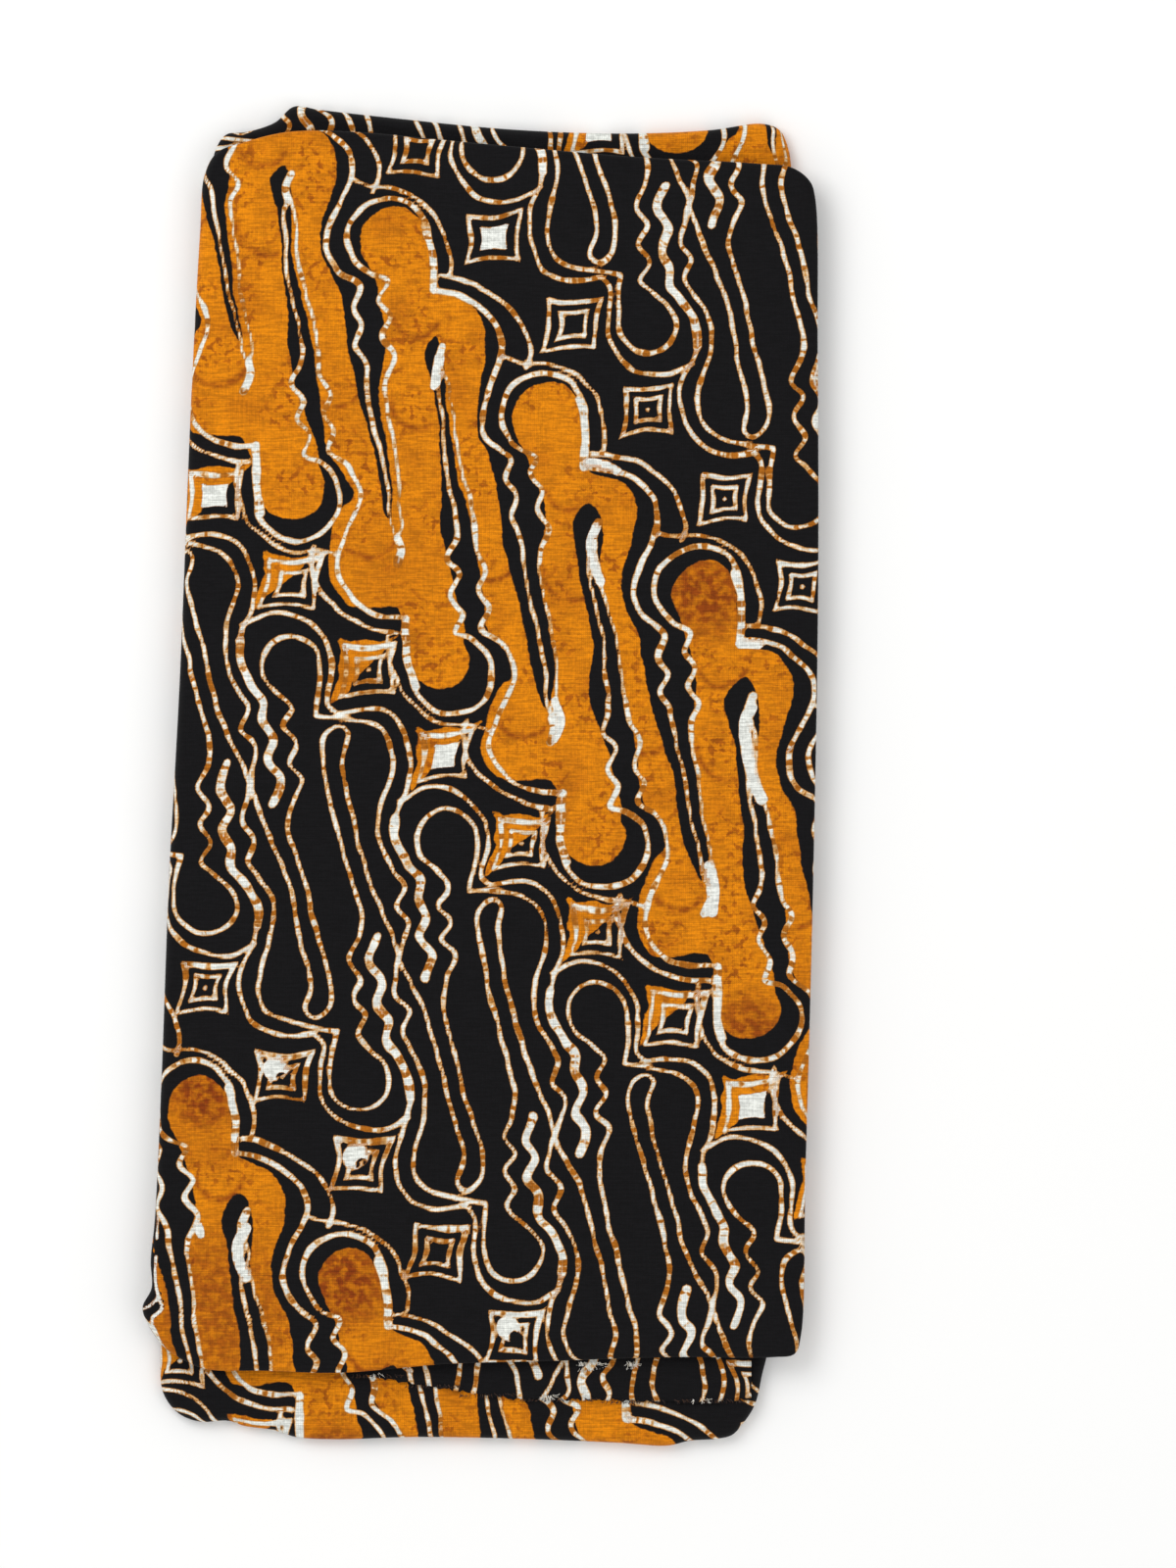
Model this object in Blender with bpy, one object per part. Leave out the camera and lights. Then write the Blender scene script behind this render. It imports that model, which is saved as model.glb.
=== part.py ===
"""A length of batik cotton folded to a flat bundle, lying on its underside.

The cloth is cut 1.10 m by 2.20 m and folded to a quarter of each, which makes sixteen layers in two packets.
The upper packet is wrapped by the stretch that shows from above. The lower packet shows past it at both ends.
X runs across the bundle, Y along it away from the raw end, and Z up from the surface that it rests on.
"""

import math
from collections import namedtuple

import bmesh
import bpy
from mathutils import Matrix, Vector

MM = 0.001

# Heights above the surface that the bundle rests on, in millimetres.
LOWER_TOP = 8.6
UPPER_BOTTOM = 8.95
UPPER_LEVEL = 17.0

# The cloth walls, and the room left between two of them.
CLOTH_WALL = 1.0
GAP = 0.35

# The upper stretch turns down in a full roll on its left and in a tight fold on its other sides.
LEFT_ROLL_RADIUS = 4.0
LEFT_ROLL_TURN = 140.0
TIGHT_FOLD_RADIUS = 1.8
TIGHT_FOLD_TURN = 128.0
FOLD_STEPS = 6

# How squarely an edge faces left, from 0 to 1, where the tight fold begins to open and where it is a roll.
ROLL_BEGINS = 0.25
ROLL_IS_FULL = 0.85

# How the upper stretch dips towards its edges.
EDGE_DIP = 0.4
EDGE_DIP_WIDTH = 26.0
CREASE_FADE_WIDTH = 6.0

# The ends of the lower packet, as far as the cloth that wraps them reaches in under the upper packet.
LOWER_ROLL_RADIUS = LOWER_TOP / 2
BOTTOM_SLEEVE_Y = -247.0
TOP_SLEEVE_Y = 258.0
SLEEVE_MOUTH_INSET = 15.0

# How squarely an edge faces an end of the bundle where a layer's side inset begins to pass to its end inset.
END_INSET_BEGINS = 0.3
END_INSET_IS_FULL = 0.9

# How far round the folded edge of a hidden layer is rounded, up and down from its middle.
NOSE_TURN = 82.0

# Divisions of the walls.
ACROSS = 16
ALONG = 38
SLEEVE_RUN_STEPS = 3
SLEEVE_ROLL_STEPS = 7
LAYER_SIDE_STEPS = 24
LAYER_END_STEPS = 6
POINTS_PER_ROW = 2
LAYER_NOSE_STEPS = 4

Place = namedtuple("Place", "x y")
Crease = namedtuple("Crease", "x y heading length width height")
Layer = namedtuple("Layer", "name packet bottom top left right near_end far_end")
RawEdge = namedtuple("RawEdge", "x inner outer")

# Seen from above, anticlockwise from the lower left corner: the outline of the upper packet.
UPPER_OUTLINE = (
    Place(-126.0, -260.2),
    Place(-95.0, -262.4),
    Place(-63.0, -263.3),
    Place(-15.0, -259.4),
    Place(30.0, -258.1),
    Place(85.0, -256.4),
    Place(129.0, -256.4),
    Place(138.0, -255.0),
    Place(140.8, -247.0),
    Place(142.8, -176.0),
    Place(146.2, -47.0),
    Place(148.4, 83.0),
    Place(148.2, 190.0),
    Place(147.2, 254.0),
    Place(144.8, 262.0),
    Place(137.0, 268.0),
    Place(122.0, 269.8),
    Place(68.0, 272.8),
    Place(-11.0, 279.7),
    Place(-55.0, 283.8),
    Place(-84.0, 284.0),
    Place(-104.0, 279.5),
    Place(-117.0, 274.5),
    Place(-122.2, 265.0),
    Place(-124.2, 240.0),
    Place(-128.0, 169.0),
    Place(-133.3, 40.0),
    Place(-138.0, -47.0),
    Place(-141.2, -133.0),
    Place(-144.0, -196.0),
    Place(-145.2, -219.0),
    Place(-149.3, -232.0),
    Place(-145.6, -243.0),
    Place(-138.0, -251.5),
)

# The outline of the lower packet, anticlockwise from its lower left corner.
LOWER_OUTLINE = (
    Place(-134.5, -281.8),
    Place(-124.6, -287.2),
    Place(-105.6, -288.0),
    Place(-85.3, -290.2),
    Place(-65.4, -292.8),
    Place(-29.0, -292.2),
    Place(21.0, -293.1),
    Place(61.0, -294.8),
    Place(82.0, -296.0),
    Place(106.0, -292.6),
    Place(116.4, -284.5),
    Place(122.0, -273.0),
    Place(125.6, -256.0),
    Place(131.0, -232.0),
    Place(137.0, -190.0),
    Place(141.5, -47.0),
    Place(143.5, 83.0),
    Place(141.0, 215.0),
    Place(137.0, 265.0),
    Place(135.4, 277.0),
    Place(131.5, 285.2),
    Place(124.0, 288.0),
    Place(101.0, 285.2),
    Place(64.0, 283.7),
    Place(14.0, 285.4),
    Place(-40.0, 290.6),
    Place(-72.0, 294.2),
    Place(-83.0, 295.6),
    Place(-91.5, 288.5),
    Place(-104.0, 284.4),
    Place(-113.0, 283.2),
    Place(-117.8, 276.0),
    Place(-120.0, 258.0),
    Place(-126.0, 169.0),
    Place(-131.0, 40.0),
    Place(-135.5, -47.0),
    Place(-138.5, -133.0),
    Place(-141.0, -198.0),
    Place(-141.8, -250.0),
    Place(-141.0, -272.0),
)

# Corners of the upper outline, where the four sides of its patch meet, anticlockwise from the lower left.
UPPER_CORNERS = (
    Place(-137.0, -252.5),
    Place(138.5, -254.5),
    Place(144.0, 263.0),
    Place(-118.0, 273.0),
)

# Soft ridges (height above zero) and troughs of the upper stretch. The heading turns from +X to +Y.
CREASES = (
    Crease(-134.0, -234.0, 170.0, 34.0, 8.0, -0.4),
    Crease(-112.0, -232.0, 62.0, 80.0, 24.0, 0.4),
    Crease(-96.0, 235.0, 118.0, 80.0, 30.0, -0.4),
    Crease(22.0, 150.0, 62.0, 170.0, 46.0, 0.3),
    Crease(60.0, -40.0, 82.0, 260.0, 60.0, 0.3),
    Crease(-55.0, -60.0, 96.0, 300.0, 54.0, -0.3),
    Crease(40.0, -232.0, 4.0, 150.0, 28.0, -0.3),
)

# The hidden layers, from the lowest up, each with its insets from its packet's outline. The lower packet's
# layers alternate between tongues that reach into its two end folds and layers that stop short of them.
LAYERS = (
    Layer("layer_resting", "between_folds", 0.0, 3.0, 0.6, 0.6, 0.0, 0.0),
    Layer("layer_tongue_low", "lower", 1.35, 4.5, 2.6, 2.6, 2.6, 2.6),
    Layer("layer_middle", "between_folds", 2.7, 5.9, 2.0, 2.0, 0.0, 0.0),
    Layer("layer_tongue_high", "lower", 4.1, 7.25, 2.6, 2.6, 2.6, 2.6),
    Layer("layer_bridge", "between_folds", 5.6, 9.3, 0.9, 0.9, 0.0, 0.0),
    Layer("layer_seat", "upper", UPPER_BOTTOM, 11.5, 6.0, 1.4, 12.0, 6.0),
    Layer("layer_nested", "upper", 11.2, 12.9, 4.4, 0.4, 3.0, 3.0),
    Layer("layer_under_wrap", "upper", 12.6, 14.6, 5.0, 2.8, 3.4, 3.4),
)

# The raw end, from its tucked edge to its cut edge.
RAW_END = (
    RawEdge(-58.0, -253.0, -263.4),
    RawEdge(-39.5, -252.5, -266.8),
    RawEdge(-11.0, -252.0, -271.6),
    RawEdge(15.0, -251.5, -275.2),
    RawEdge(55.0, -251.0, -275.6),
    RawEdge(97.0, -250.6, -276.6),
    RawEdge(119.0, -250.4, -275.4),
)
RAW_END_BOTTOM = LOWER_TOP + GAP
RAW_END_STATIONS = 24
RAW_END_STEPS = 3

Finish = namedtuple("Finish", "name colour roughness")
INDIGO_BLACK = Finish("dyed_cotton_black", (0.012, 0.011, 0.012, 1.0), 0.85)
SOGA_OCHRE = Finish("dyed_cotton_ochre", (0.72, 0.24, 0.008, 1.0), 0.85)


def smooth_closed(points, per_span=12):
    """A closed curve through the points, as a list of 2D vectors (centripetal Catmull-Rom)."""
    knots = [Vector((p.x, p.y)) for p in points]
    count = len(knots)
    curve = []
    for index in range(count):
        before, start, end, after = (knots[(index + k) % count] for k in (-1, 0, 1, 2))
        t1 = math.sqrt((start - before).length)
        t2 = t1 + math.sqrt((end - start).length)
        t3 = t2 + math.sqrt((after - end).length)
        for step in range(per_span):
            t = t1 + (t2 - t1) * step / per_span
            a1 = before.lerp(start, t / t1)
            a2 = start.lerp(end, (t - t1) / (t2 - t1))
            a3 = end.lerp(after, (t - t2) / (t3 - t2))
            b1 = a1.lerp(a2, t / t2)
            b2 = a2.lerp(a3, (t - t1) / (t3 - t1))
            curve.append(b1.lerp(b2, (t - t1) / (t2 - t1)))
    return curve


def evenly(curve, count, closed=False):
    """Points at even steps along a curve: count of them if it is closed, and count + 1 if it is open."""
    run = list(curve) + ([curve[0]] if closed else [])
    lengths = [0.0]
    for a, b in zip(run, run[1:]):
        lengths.append(lengths[-1] + (b - a).length)
    picked = []
    at = 0
    for step in range(count if closed else count + 1):
        wanted = lengths[-1] * step / count
        while at < len(run) - 2 and lengths[at + 1] < wanted:
            at += 1
        span = max(lengths[at + 1] - lengths[at], 1e-9)
        picked.append(run[at].lerp(run[at + 1], min(1.0, (wanted - lengths[at]) / span)))
    return picked


def outward(points, closed):
    """The unit outward normal at each point of an anticlockwise curve."""
    last = len(points) - 1
    normals = []
    for index in range(len(points)):
        if closed:
            run = points[(index + 1) % len(points)] - points[index - 1]
        else:
            run = points[min(index + 1, last)] - points[max(index - 1, 0)]
        normals.append(Vector((run.y, -run.x)).normalized())
    return normals


def nearest(curve, place):
    """The index of the curve's point nearest to a place."""
    target = Vector((place.x, place.y))
    return min(range(len(curve)), key=lambda index: (curve[index] - target).length)


def eased(low, high, value):
    """0 below low, 1 above high, and a smooth rise between them."""
    t = min(1.0, max(0.0, (value - low) / (high - low)))
    return t * t * (3.0 - 2.0 * t)


def crease_height(x, y):
    """How far the creases lift the upper stretch at a place."""
    height = 0.0
    for crease in CREASES:
        turn = math.radians(crease.heading)
        dx, dy = x - crease.x, y - crease.y
        run = (dx * math.cos(turn) + dy * math.sin(turn)) / (crease.length / 2)
        off = (dy * math.cos(turn) - dx * math.sin(turn)) / (crease.width / 2)
        height += crease.height * math.exp(-run * run - off * off)
    return height


def finish_material(finish):
    """The plain material of a finish, made once."""
    made = bpy.data.materials.get(finish.name)
    if made is None:
        made = bpy.data.materials.new(finish.name)
        made.use_nodes = True
        shader = made.node_tree.nodes["Principled BSDF"]
        shader.inputs["Base Color"].default_value = finish.colour
        shader.inputs["Roughness"].default_value = finish.roughness
        shader.inputs["Metallic"].default_value = 0.0
    return made


def object_of(name, mesh_builder, finish):
    """A named object from a bmesh whose points are in millimetres."""
    for vert in mesh_builder.verts:
        vert.co *= MM
    mesh = bpy.data.meshes.new(name)
    mesh_builder.to_mesh(mesh)
    mesh_builder.free()
    mesh.shade_smooth()
    mesh.materials.append(finish_material(finish))
    made = bpy.data.objects.new(name, mesh)
    bpy.context.scene.collection.objects.link(made)
    return made


def quads_between(built, row_a, row_b, closed):
    """Faces that join two rows of vertices."""
    count = len(row_a)
    for index in range(count if closed else count - 1):
        after = (index + 1) % count
        built.faces.new((row_a[index], row_b[index], row_b[after], row_a[after]))


def add_wall(made, thickness):
    """Gives an open sheet its cloth wall, inwards from the shown face."""
    wall = made.modifiers.new("cloth_wall", "SOLIDIFY")
    wall.thickness = thickness * MM
    wall.offset = -1.0
    wall.use_even_offset = True
    wall.use_rim = True


def upper_height(place, edge_distance):
    """The height of the upper stretch at a place that far from its edge."""
    dip = EDGE_DIP * (1.0 - eased(0.0, EDGE_DIP_WIDTH, edge_distance))
    fade = eased(-CREASE_FADE_WIDTH / 2, CREASE_FADE_WIDTH / 2, edge_distance)
    return UPPER_LEVEL - dip + crease_height(place.x, place.y) * fade


def upper_edge():
    """The upper outline from corner to corner: ACROSS, ALONG, ACROSS and ALONG steps, anticlockwise."""
    curve = smooth_closed(UPPER_OUTLINE)
    marks = [nearest(curve, corner) for corner in UPPER_CORNERS]
    loop = []
    for start, end, steps in zip(marks, marks[1:] + marks[:1], (ACROSS, ALONG, ACROSS, ALONG)):
        run = [curve[(start + k) % len(curve)] for k in range((end - start) % len(curve) + 1)]
        loop += evenly(run, steps)[:-1]
    return loop


def fold_at(normal):
    """The radius and the turn of the upper stretch's folded edge where it faces that way."""
    share = eased(ROLL_BEGINS, ROLL_IS_FULL, -normal.x)
    radius = TIGHT_FOLD_RADIUS + (LEFT_ROLL_RADIUS - TIGHT_FOLD_RADIUS) * share
    turn = TIGHT_FOLD_TURN + (LEFT_ROLL_TURN - TIGHT_FOLD_TURN) * share
    return radius, math.radians(turn)


def patch_places(loop):
    """Rows of places that fill a loop of four sides, blended between its opposite sides."""
    near = loop[0 : ACROSS + 1]
    right = loop[ACROSS : ACROSS + ALONG + 1]
    far = loop[ACROSS + ALONG : 2 * ACROSS + ALONG + 1][::-1]
    left = (loop[2 * ACROSS + ALONG :] + loop[:1])[::-1]
    rows = []
    for j in range(ALONG + 1):
        v = j / ALONG
        row = []
        for i in range(ACROSS + 1):
            u = i / ACROSS
            corners = near[0].lerp(near[-1], u).lerp(far[0].lerp(far[-1], u), v)
            row.append(near[i].lerp(far[i], v) + left[j].lerp(right[j], u) - corners)
        rows.append(row)
    return rows


def upper_cloth():
    """The stretch that shows from above, turned down all round over the upper packet."""
    edge = upper_edge()
    normals = outward(edge, closed=True)
    folds = [fold_at(normal) for normal in normals]
    inner = [point - normal * radius for point, normal, (radius, _) in zip(edge, normals, folds)]
    rows = patch_places(inner)
    width = (rows[0][-1] - rows[0][0]).length
    length = (rows[-1][0] - rows[0][0]).length
    built = bmesh.new()
    grid = []
    for j, row in enumerate(rows):
        along = min(j, ALONG - j) / ALONG * length
        verts = []
        for i, place in enumerate(row):
            height = upper_height(place, min(along, min(i, ACROSS - i) / ACROSS * width))
            verts.append(built.verts.new((place.x, place.y, height)))
        grid.append(verts)
    for low, high in zip(grid, grid[1:]):
        quads_between(built, high, low, closed=False)

    rim = grid[0][:-1] + [row[-1] for row in grid[:-1]] + grid[-1][:0:-1] + [row[0] for row in grid[:0:-1]]
    ring = rim
    for step in range(1, FOLD_STEPS + 1):
        outer = []
        for vert, base, normal, (radius, turn) in zip(rim, inner, normals, folds):
            angle = turn * step / FOLD_STEPS
            place = base + normal * (radius * math.sin(angle))
            outer.append(built.verts.new((place.x, place.y, vert.co.z - radius * (1 - math.cos(angle)))))
        quads_between(built, ring, outer, closed=True)
        ring = outer
    bmesh.ops.recalc_face_normals(built, faces=built.faces)
    made = object_of("upper_cloth", built, SOGA_OCHRE)
    face_outwards(made)
    add_wall(made, CLOTH_WALL)
    return made


def face_outwards(made):
    """Turns an open sheet's faces so that its highest face points up."""
    mesh = made.data
    highest = max(mesh.polygons, key=lambda face: face.center.z)
    if highest.normal.z < 0:
        mesh.flip_normals()


def end_of_outline(mouth_y):
    """The stretch of the lower outline past a sleeve's mouth, anticlockwise, from mouth to mouth."""
    toward = math.copysign(1.0, mouth_y)
    curve = smooth_closed(LOWER_OUTLINE, POINTS_PER_ROW)
    count = len(curve)
    past = [toward * (p.y - mouth_y) > 0 for p in curve]
    first = next(i for i in range(count) if past[i] and not past[i - 1])
    run = [curve[first - 1]]
    at = first
    while past[at % count]:
        run.append(curve[at % count])
        at += 1
    run.append(curve[at % count])
    run[0] = run[0].lerp(run[1], (mouth_y - run[0].y) / (run[1].y - run[0].y))
    run[-1] = run[-1].lerp(run[-2], (mouth_y - run[-1].y) / (run[-2].y - run[-1].y))
    return run


def sleeve(name, mouth_y, finish):
    """The stretch that wraps one end of the lower packet, open towards the middle of the bundle."""
    chain = end_of_outline(mouth_y)
    normals = outward(chain, closed=False)
    normals[0] = Vector((math.copysign(1.0, normals[0].x), 0.0))
    normals[-1] = Vector((math.copysign(1.0, normals[-1].x), 0.0))
    last = len(chain) - 1
    mouth_start = chain[0].x - SLEEVE_MOUTH_INSET * normals[0].x
    mouth_stop = chain[-1].x - SLEEVE_MOUTH_INSET * normals[-1].x
    radius = LOWER_ROLL_RADIUS
    built = bmesh.new()
    rows = []
    for station, (point, normal) in enumerate(zip(chain, normals)):
        mouth_x = mouth_start + (mouth_stop - mouth_start) * station / last
        mouth = Vector((mouth_x, mouth_y))
        base = point - normal * radius
        run = [mouth.lerp(base, step / SLEEVE_RUN_STEPS) for step in range(SLEEVE_RUN_STEPS)]
        row = [built.verts.new((place.x, place.y, LOWER_TOP)) for place in run]
        for step in range(SLEEVE_ROLL_STEPS + 1):
            angle = math.pi * step / SLEEVE_ROLL_STEPS
            place = base + normal * (radius * math.sin(angle))
            row.append(built.verts.new((place.x, place.y, radius + radius * math.cos(angle))))
        row += [built.verts.new((place.x, place.y, 0.0)) for place in reversed(run)]
        rows.append(row)
    for a, b in zip(rows, rows[1:]):
        quads_between(built, a, b, closed=False)
    bmesh.ops.recalc_face_normals(built, faces=built.faces)
    made = object_of(name, built, finish)
    face_outwards(made)
    add_wall(made, CLOTH_WALL)
    return made


def side_place(curve, y, on_right):
    """Where a side of an outline lies at y."""
    best = None
    for a, b in zip(curve, curve[1:] + curve[:1]):
        if (a.y - y) * (b.y - y) <= 0 and a.y != b.y:
            x = a.x + (b.x - a.x) * (y - a.y) / (b.y - a.y)
            if best is None or (x > best) == on_right:
                best = x
    return best


def layer_outline(layer):
    """The closed outline of a hidden layer, anticlockwise."""
    if layer.packet == "between_folds":
        return outline_between_folds(layer)
    curve = smooth_closed(UPPER_OUTLINE if layer.packet == "upper" else LOWER_OUTLINE, POINTS_PER_ROW)
    outline = []
    for point, normal in zip(curve, outward(curve, closed=True)):
        side = layer.left if normal.x < 0 else layer.right
        end = layer.near_end if normal.y < 0 else layer.far_end
        share = eased(END_INSET_BEGINS, END_INSET_IS_FULL, abs(normal.y))
        outline.append(point - normal * (side + (end - side) * share))
    return outline


def outline_between_folds(layer):
    """The outline of a layer that stops short of the sleeves at both ends of the lower packet."""
    curve = smooth_closed(LOWER_OUTLINE)
    low, high = BOTTOM_SLEEVE_Y + GAP, TOP_SLEEVE_Y - GAP
    right = []
    left = []
    for step in range(LAYER_SIDE_STEPS + 1):
        y = low + (high - low) * step / LAYER_SIDE_STEPS
        right.append(Vector((side_place(curve, y, True) - layer.right, y)))
        left.append(Vector((side_place(curve, y, False) + layer.left, y)))
    near = [left[0].lerp(right[0], step / LAYER_END_STEPS) for step in range(1, LAYER_END_STEPS)]
    far = [right[-1].lerp(left[-1], step / LAYER_END_STEPS) for step in range(1, LAYER_END_STEPS)]
    return near + right + far + left[::-1]


def layer_solid(layer):
    """One hidden layer: a flat slab whose edge is a rounded fold."""
    outline = layer_outline(layer)
    normals = outward(outline, closed=True)
    half = (layer.top - layer.bottom) / 2
    turn = math.radians(NOSE_TURN)
    built = bmesh.new()
    rings = []
    for step in range(LAYER_NOSE_STEPS + 1):
        angle = turn * (2.0 * step / LAYER_NOSE_STEPS - 1.0)
        back = half * (1.0 - math.cos(angle))
        height = layer.bottom + half * (1.0 + math.sin(angle) / math.sin(turn))
        ring = []
        for point, normal in zip(outline, normals):
            place = point - normal * back
            ring.append(built.verts.new((place.x, place.y, height)))
        rings.append(ring)
    for low, high in zip(rings, rings[1:]):
        quads_between(built, low, high, closed=True)
    built.faces.new(rings[0])
    built.faces.new(rings[-1])
    bmesh.ops.recalc_face_normals(built, faces=built.faces)
    return object_of(layer.name, built, INDIGO_BLACK)


def folded_layers():
    """The hidden layers of both packets as one solid, layered at its edges."""
    slabs = [layer_solid(layer) for layer in LAYERS]
    whole = slabs[0]
    whole.name = "folded_layers"
    for slab in slabs[1:]:
        slab.hide_render = True
        slab.display_type = "WIRE"
        join = whole.modifiers.new("join_" + slab.name, "BOOLEAN")
        join.operation = "UNION"
        join.solver = "EXACT"
        join.object = slab
    return whole


def between(rows, x, column):
    """A column's value at x, from rows in rising x."""
    for a, b in zip(rows, rows[1:]):
        if x <= b.x:
            share = max(0.0, (x - a.x) / (b.x - a.x))
            return getattr(a, column) + (getattr(b, column) - getattr(a, column)) * eased(0.0, 1.0, share)
    return getattr(rows[-1], column)


def raw_end():
    """The end of the cloth, which lies past the upper packet on the lower one."""
    built = bmesh.new()
    rows = []
    start, stop = RAW_END[0].x, RAW_END[-1].x
    for station in range(RAW_END_STATIONS + 1):
        x = start + (stop - start) * station / RAW_END_STATIONS
        inner, outer = between(RAW_END, x, "inner"), between(RAW_END, x, "outer")
        row = []
        for step in range(RAW_END_STEPS + 1):
            y = inner + (outer - inner) * step / RAW_END_STEPS
            row.append(built.verts.new((x, y, RAW_END_BOTTOM + CLOTH_WALL)))
        rows.append(row)
    for a, b in zip(rows, rows[1:]):
        quads_between(built, a, b, closed=False)
    bmesh.ops.recalc_face_normals(built, faces=built.faces)
    made = object_of("raw_end", built, INDIGO_BLACK)
    face_outwards(made)
    add_wall(made, CLOTH_WALL)
    return made


def centre_on_base(made):
    """Moves the whole bundle so that the origin is at the centre of its base."""
    bpy.context.view_layer.update()
    graph = bpy.context.evaluated_depsgraph_get()
    corners = []
    for part in made:
        shown = part.evaluated_get(graph)
        corners += [shown.matrix_world @ Vector(corner) for corner in shown.bound_box]
    low = [min(corner[axis] for corner in corners) for axis in range(3)]
    high = [max(corner[axis] for corner in corners) for axis in range(3)]
    shift = Vector(((low[0] + high[0]) / 2, (low[1] + high[1]) / 2, 0.0))
    for part in bpy.data.objects:
        part.data.transform(Matrix.Translation(-shift))


def main():
    """Makes the bundle's five pieces."""
    for old in list(bpy.data.objects):
        bpy.data.objects.remove(old)
    made = [
        folded_layers(),
        sleeve("bottom_fold", BOTTOM_SLEEVE_Y, SOGA_OCHRE),
        sleeve("top_fold", TOP_SLEEVE_Y, INDIGO_BLACK),
        upper_cloth(),
        raw_end(),
    ]
    centre_on_base(made)


main()
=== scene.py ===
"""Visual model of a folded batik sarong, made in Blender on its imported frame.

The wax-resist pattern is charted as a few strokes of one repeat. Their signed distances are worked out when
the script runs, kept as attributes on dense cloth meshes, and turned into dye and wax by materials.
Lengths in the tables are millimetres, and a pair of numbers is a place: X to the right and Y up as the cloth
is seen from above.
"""
import logging
import math
from dataclasses import dataclass, field
from enum import Enum
from typing import NamedTuple

import bmesh
import bpy
import numpy as np
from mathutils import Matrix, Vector
from mathutils.kdtree import KDTree


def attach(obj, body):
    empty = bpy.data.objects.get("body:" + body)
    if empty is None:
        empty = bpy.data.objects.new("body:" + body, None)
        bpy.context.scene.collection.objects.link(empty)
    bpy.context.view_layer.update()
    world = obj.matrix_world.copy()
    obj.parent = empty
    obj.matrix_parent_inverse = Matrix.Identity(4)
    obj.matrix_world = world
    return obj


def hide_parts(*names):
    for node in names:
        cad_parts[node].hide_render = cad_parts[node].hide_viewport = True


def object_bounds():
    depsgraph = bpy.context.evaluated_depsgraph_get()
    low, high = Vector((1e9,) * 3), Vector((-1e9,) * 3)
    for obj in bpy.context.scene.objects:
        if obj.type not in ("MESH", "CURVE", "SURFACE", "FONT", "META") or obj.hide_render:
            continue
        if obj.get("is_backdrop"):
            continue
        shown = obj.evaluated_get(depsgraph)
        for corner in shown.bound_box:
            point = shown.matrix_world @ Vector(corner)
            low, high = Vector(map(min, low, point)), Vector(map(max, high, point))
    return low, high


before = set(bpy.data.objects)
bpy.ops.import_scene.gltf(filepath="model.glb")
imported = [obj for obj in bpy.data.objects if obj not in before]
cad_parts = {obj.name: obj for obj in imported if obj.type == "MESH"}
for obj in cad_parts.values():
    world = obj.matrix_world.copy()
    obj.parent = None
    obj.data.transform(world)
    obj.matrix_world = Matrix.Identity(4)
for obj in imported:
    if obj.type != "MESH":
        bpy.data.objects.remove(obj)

CAD_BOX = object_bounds()
LOG = logging.getLogger("sarong")
MM = 0.001
BODY = "root"

# Heights and folds, as in the solids. A fold is its radius and its turn in degrees.
LOWER_TOP = 8.6
UPPER_LEVEL = 17.0
LEFT_ROLL = (4.0, 140.0)
TIGHT_FOLD = (1.8, 128.0)
ROLL_BEGINS = 0.25
ROLL_IS_FULL = 0.85
EDGE_DIP = 0.4
EDGE_DIP_WIDTH = 26.0
BOTTOM_SLEEVE_Y = -247.0
TOP_SLEEVE_Y = 258.0
SLEEVE_MOUTH_INSET = 15.0
GAP = 0.35

# The step on the flat cloth from what one layered edge shows to what the next shows.
LAYER_STEP = 58.0

# Spacing of mesh points that keeps a 2.3 mm wax line sharp, and the rings that turn the upper cloth down.
POINT_SPACING = 1.35
FOLD_RINGS = 8

# The upper cloth's width and length inside its folds, in round numbers.
INNER_WIDTH = 270.0
INNER_LENGTH = 530.0

# How deep a layer's nose is for its half height, and how far in from the outline the underside ends.
NOSE_DEPTH = 1.6
UNDERSIDE_INSET = 2.6

# The raw end's cloth, how far it lies above the bottom fold, and the straight steps of a loose thread.
RAW_END_WALL = 0.4
RAW_END_LIFT = 0.45
THREAD_STEPS = 5

# The camera: what the middle of the photograph shows, how high it is, and the height of its frame in metres.
PHOTO_MIDDLE = (46.9, -3.7)
CAMERA_HEIGHT = 5.0
FRAME_HEIGHT = 0.691
SENSOR = 36.0

Place = tuple[float, float]
Array = np.ndarray
Object = bpy.types.Object
Colour = tuple[float, float, float, float]
Socket = bpy.types.NodeSocket
Value = Socket | Colour


class Crease(NamedTuple):
    """A soft ridge, or a trough if its height is below zero. The heading turns from +X to +Y."""

    x: float
    y: float
    heading: float
    length: float
    width: float
    height: float


class Stain(NamedTuple):
    """A place where the ochre dye is darker."""

    x: float
    y: float
    radius: float
    strength: float


class Oval(NamedTuple):
    """A stretch of an ellipse, drawn from one angle to another in degrees."""

    x: float
    y: float
    half_width: float
    half_height: float
    start: float
    stop: float

    def knots(self) -> list[Place]:
        """Nine places along it."""
        turns = np.radians(np.linspace(self.start, self.stop, 9))
        return [
            (self.x + self.half_width * math.cos(t), self.y + self.half_height * math.sin(t)) for t in turns
        ]


class Wave(NamedTuple):
    """A wavy stretch between two points, with a number of half swings and their depth."""

    x: float
    y: float
    to_x: float
    to_y: float
    half_swings: int
    depth: float

    def knots(self) -> list[Array]:
        """The tips of its swings.

        Returns:
            X and Y of each tip.
        """
        start = np.array((self.x, self.y))
        run = np.array((self.to_x - self.x, self.to_y - self.y))
        side = np.array((-run[1], run[0])) / np.linalg.norm(run)
        return [
            start + run * swing / self.half_swings + side * (self.depth * (-1) ** swing)
            for swing in range(self.half_swings + 1)
        ]


class Layer(NamedTuple):
    """A folded layer that shows at the sides: its heights and its insets from the outline."""

    bottom: float
    top: float
    left: float
    right: float
    end: float
    wander: float


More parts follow.
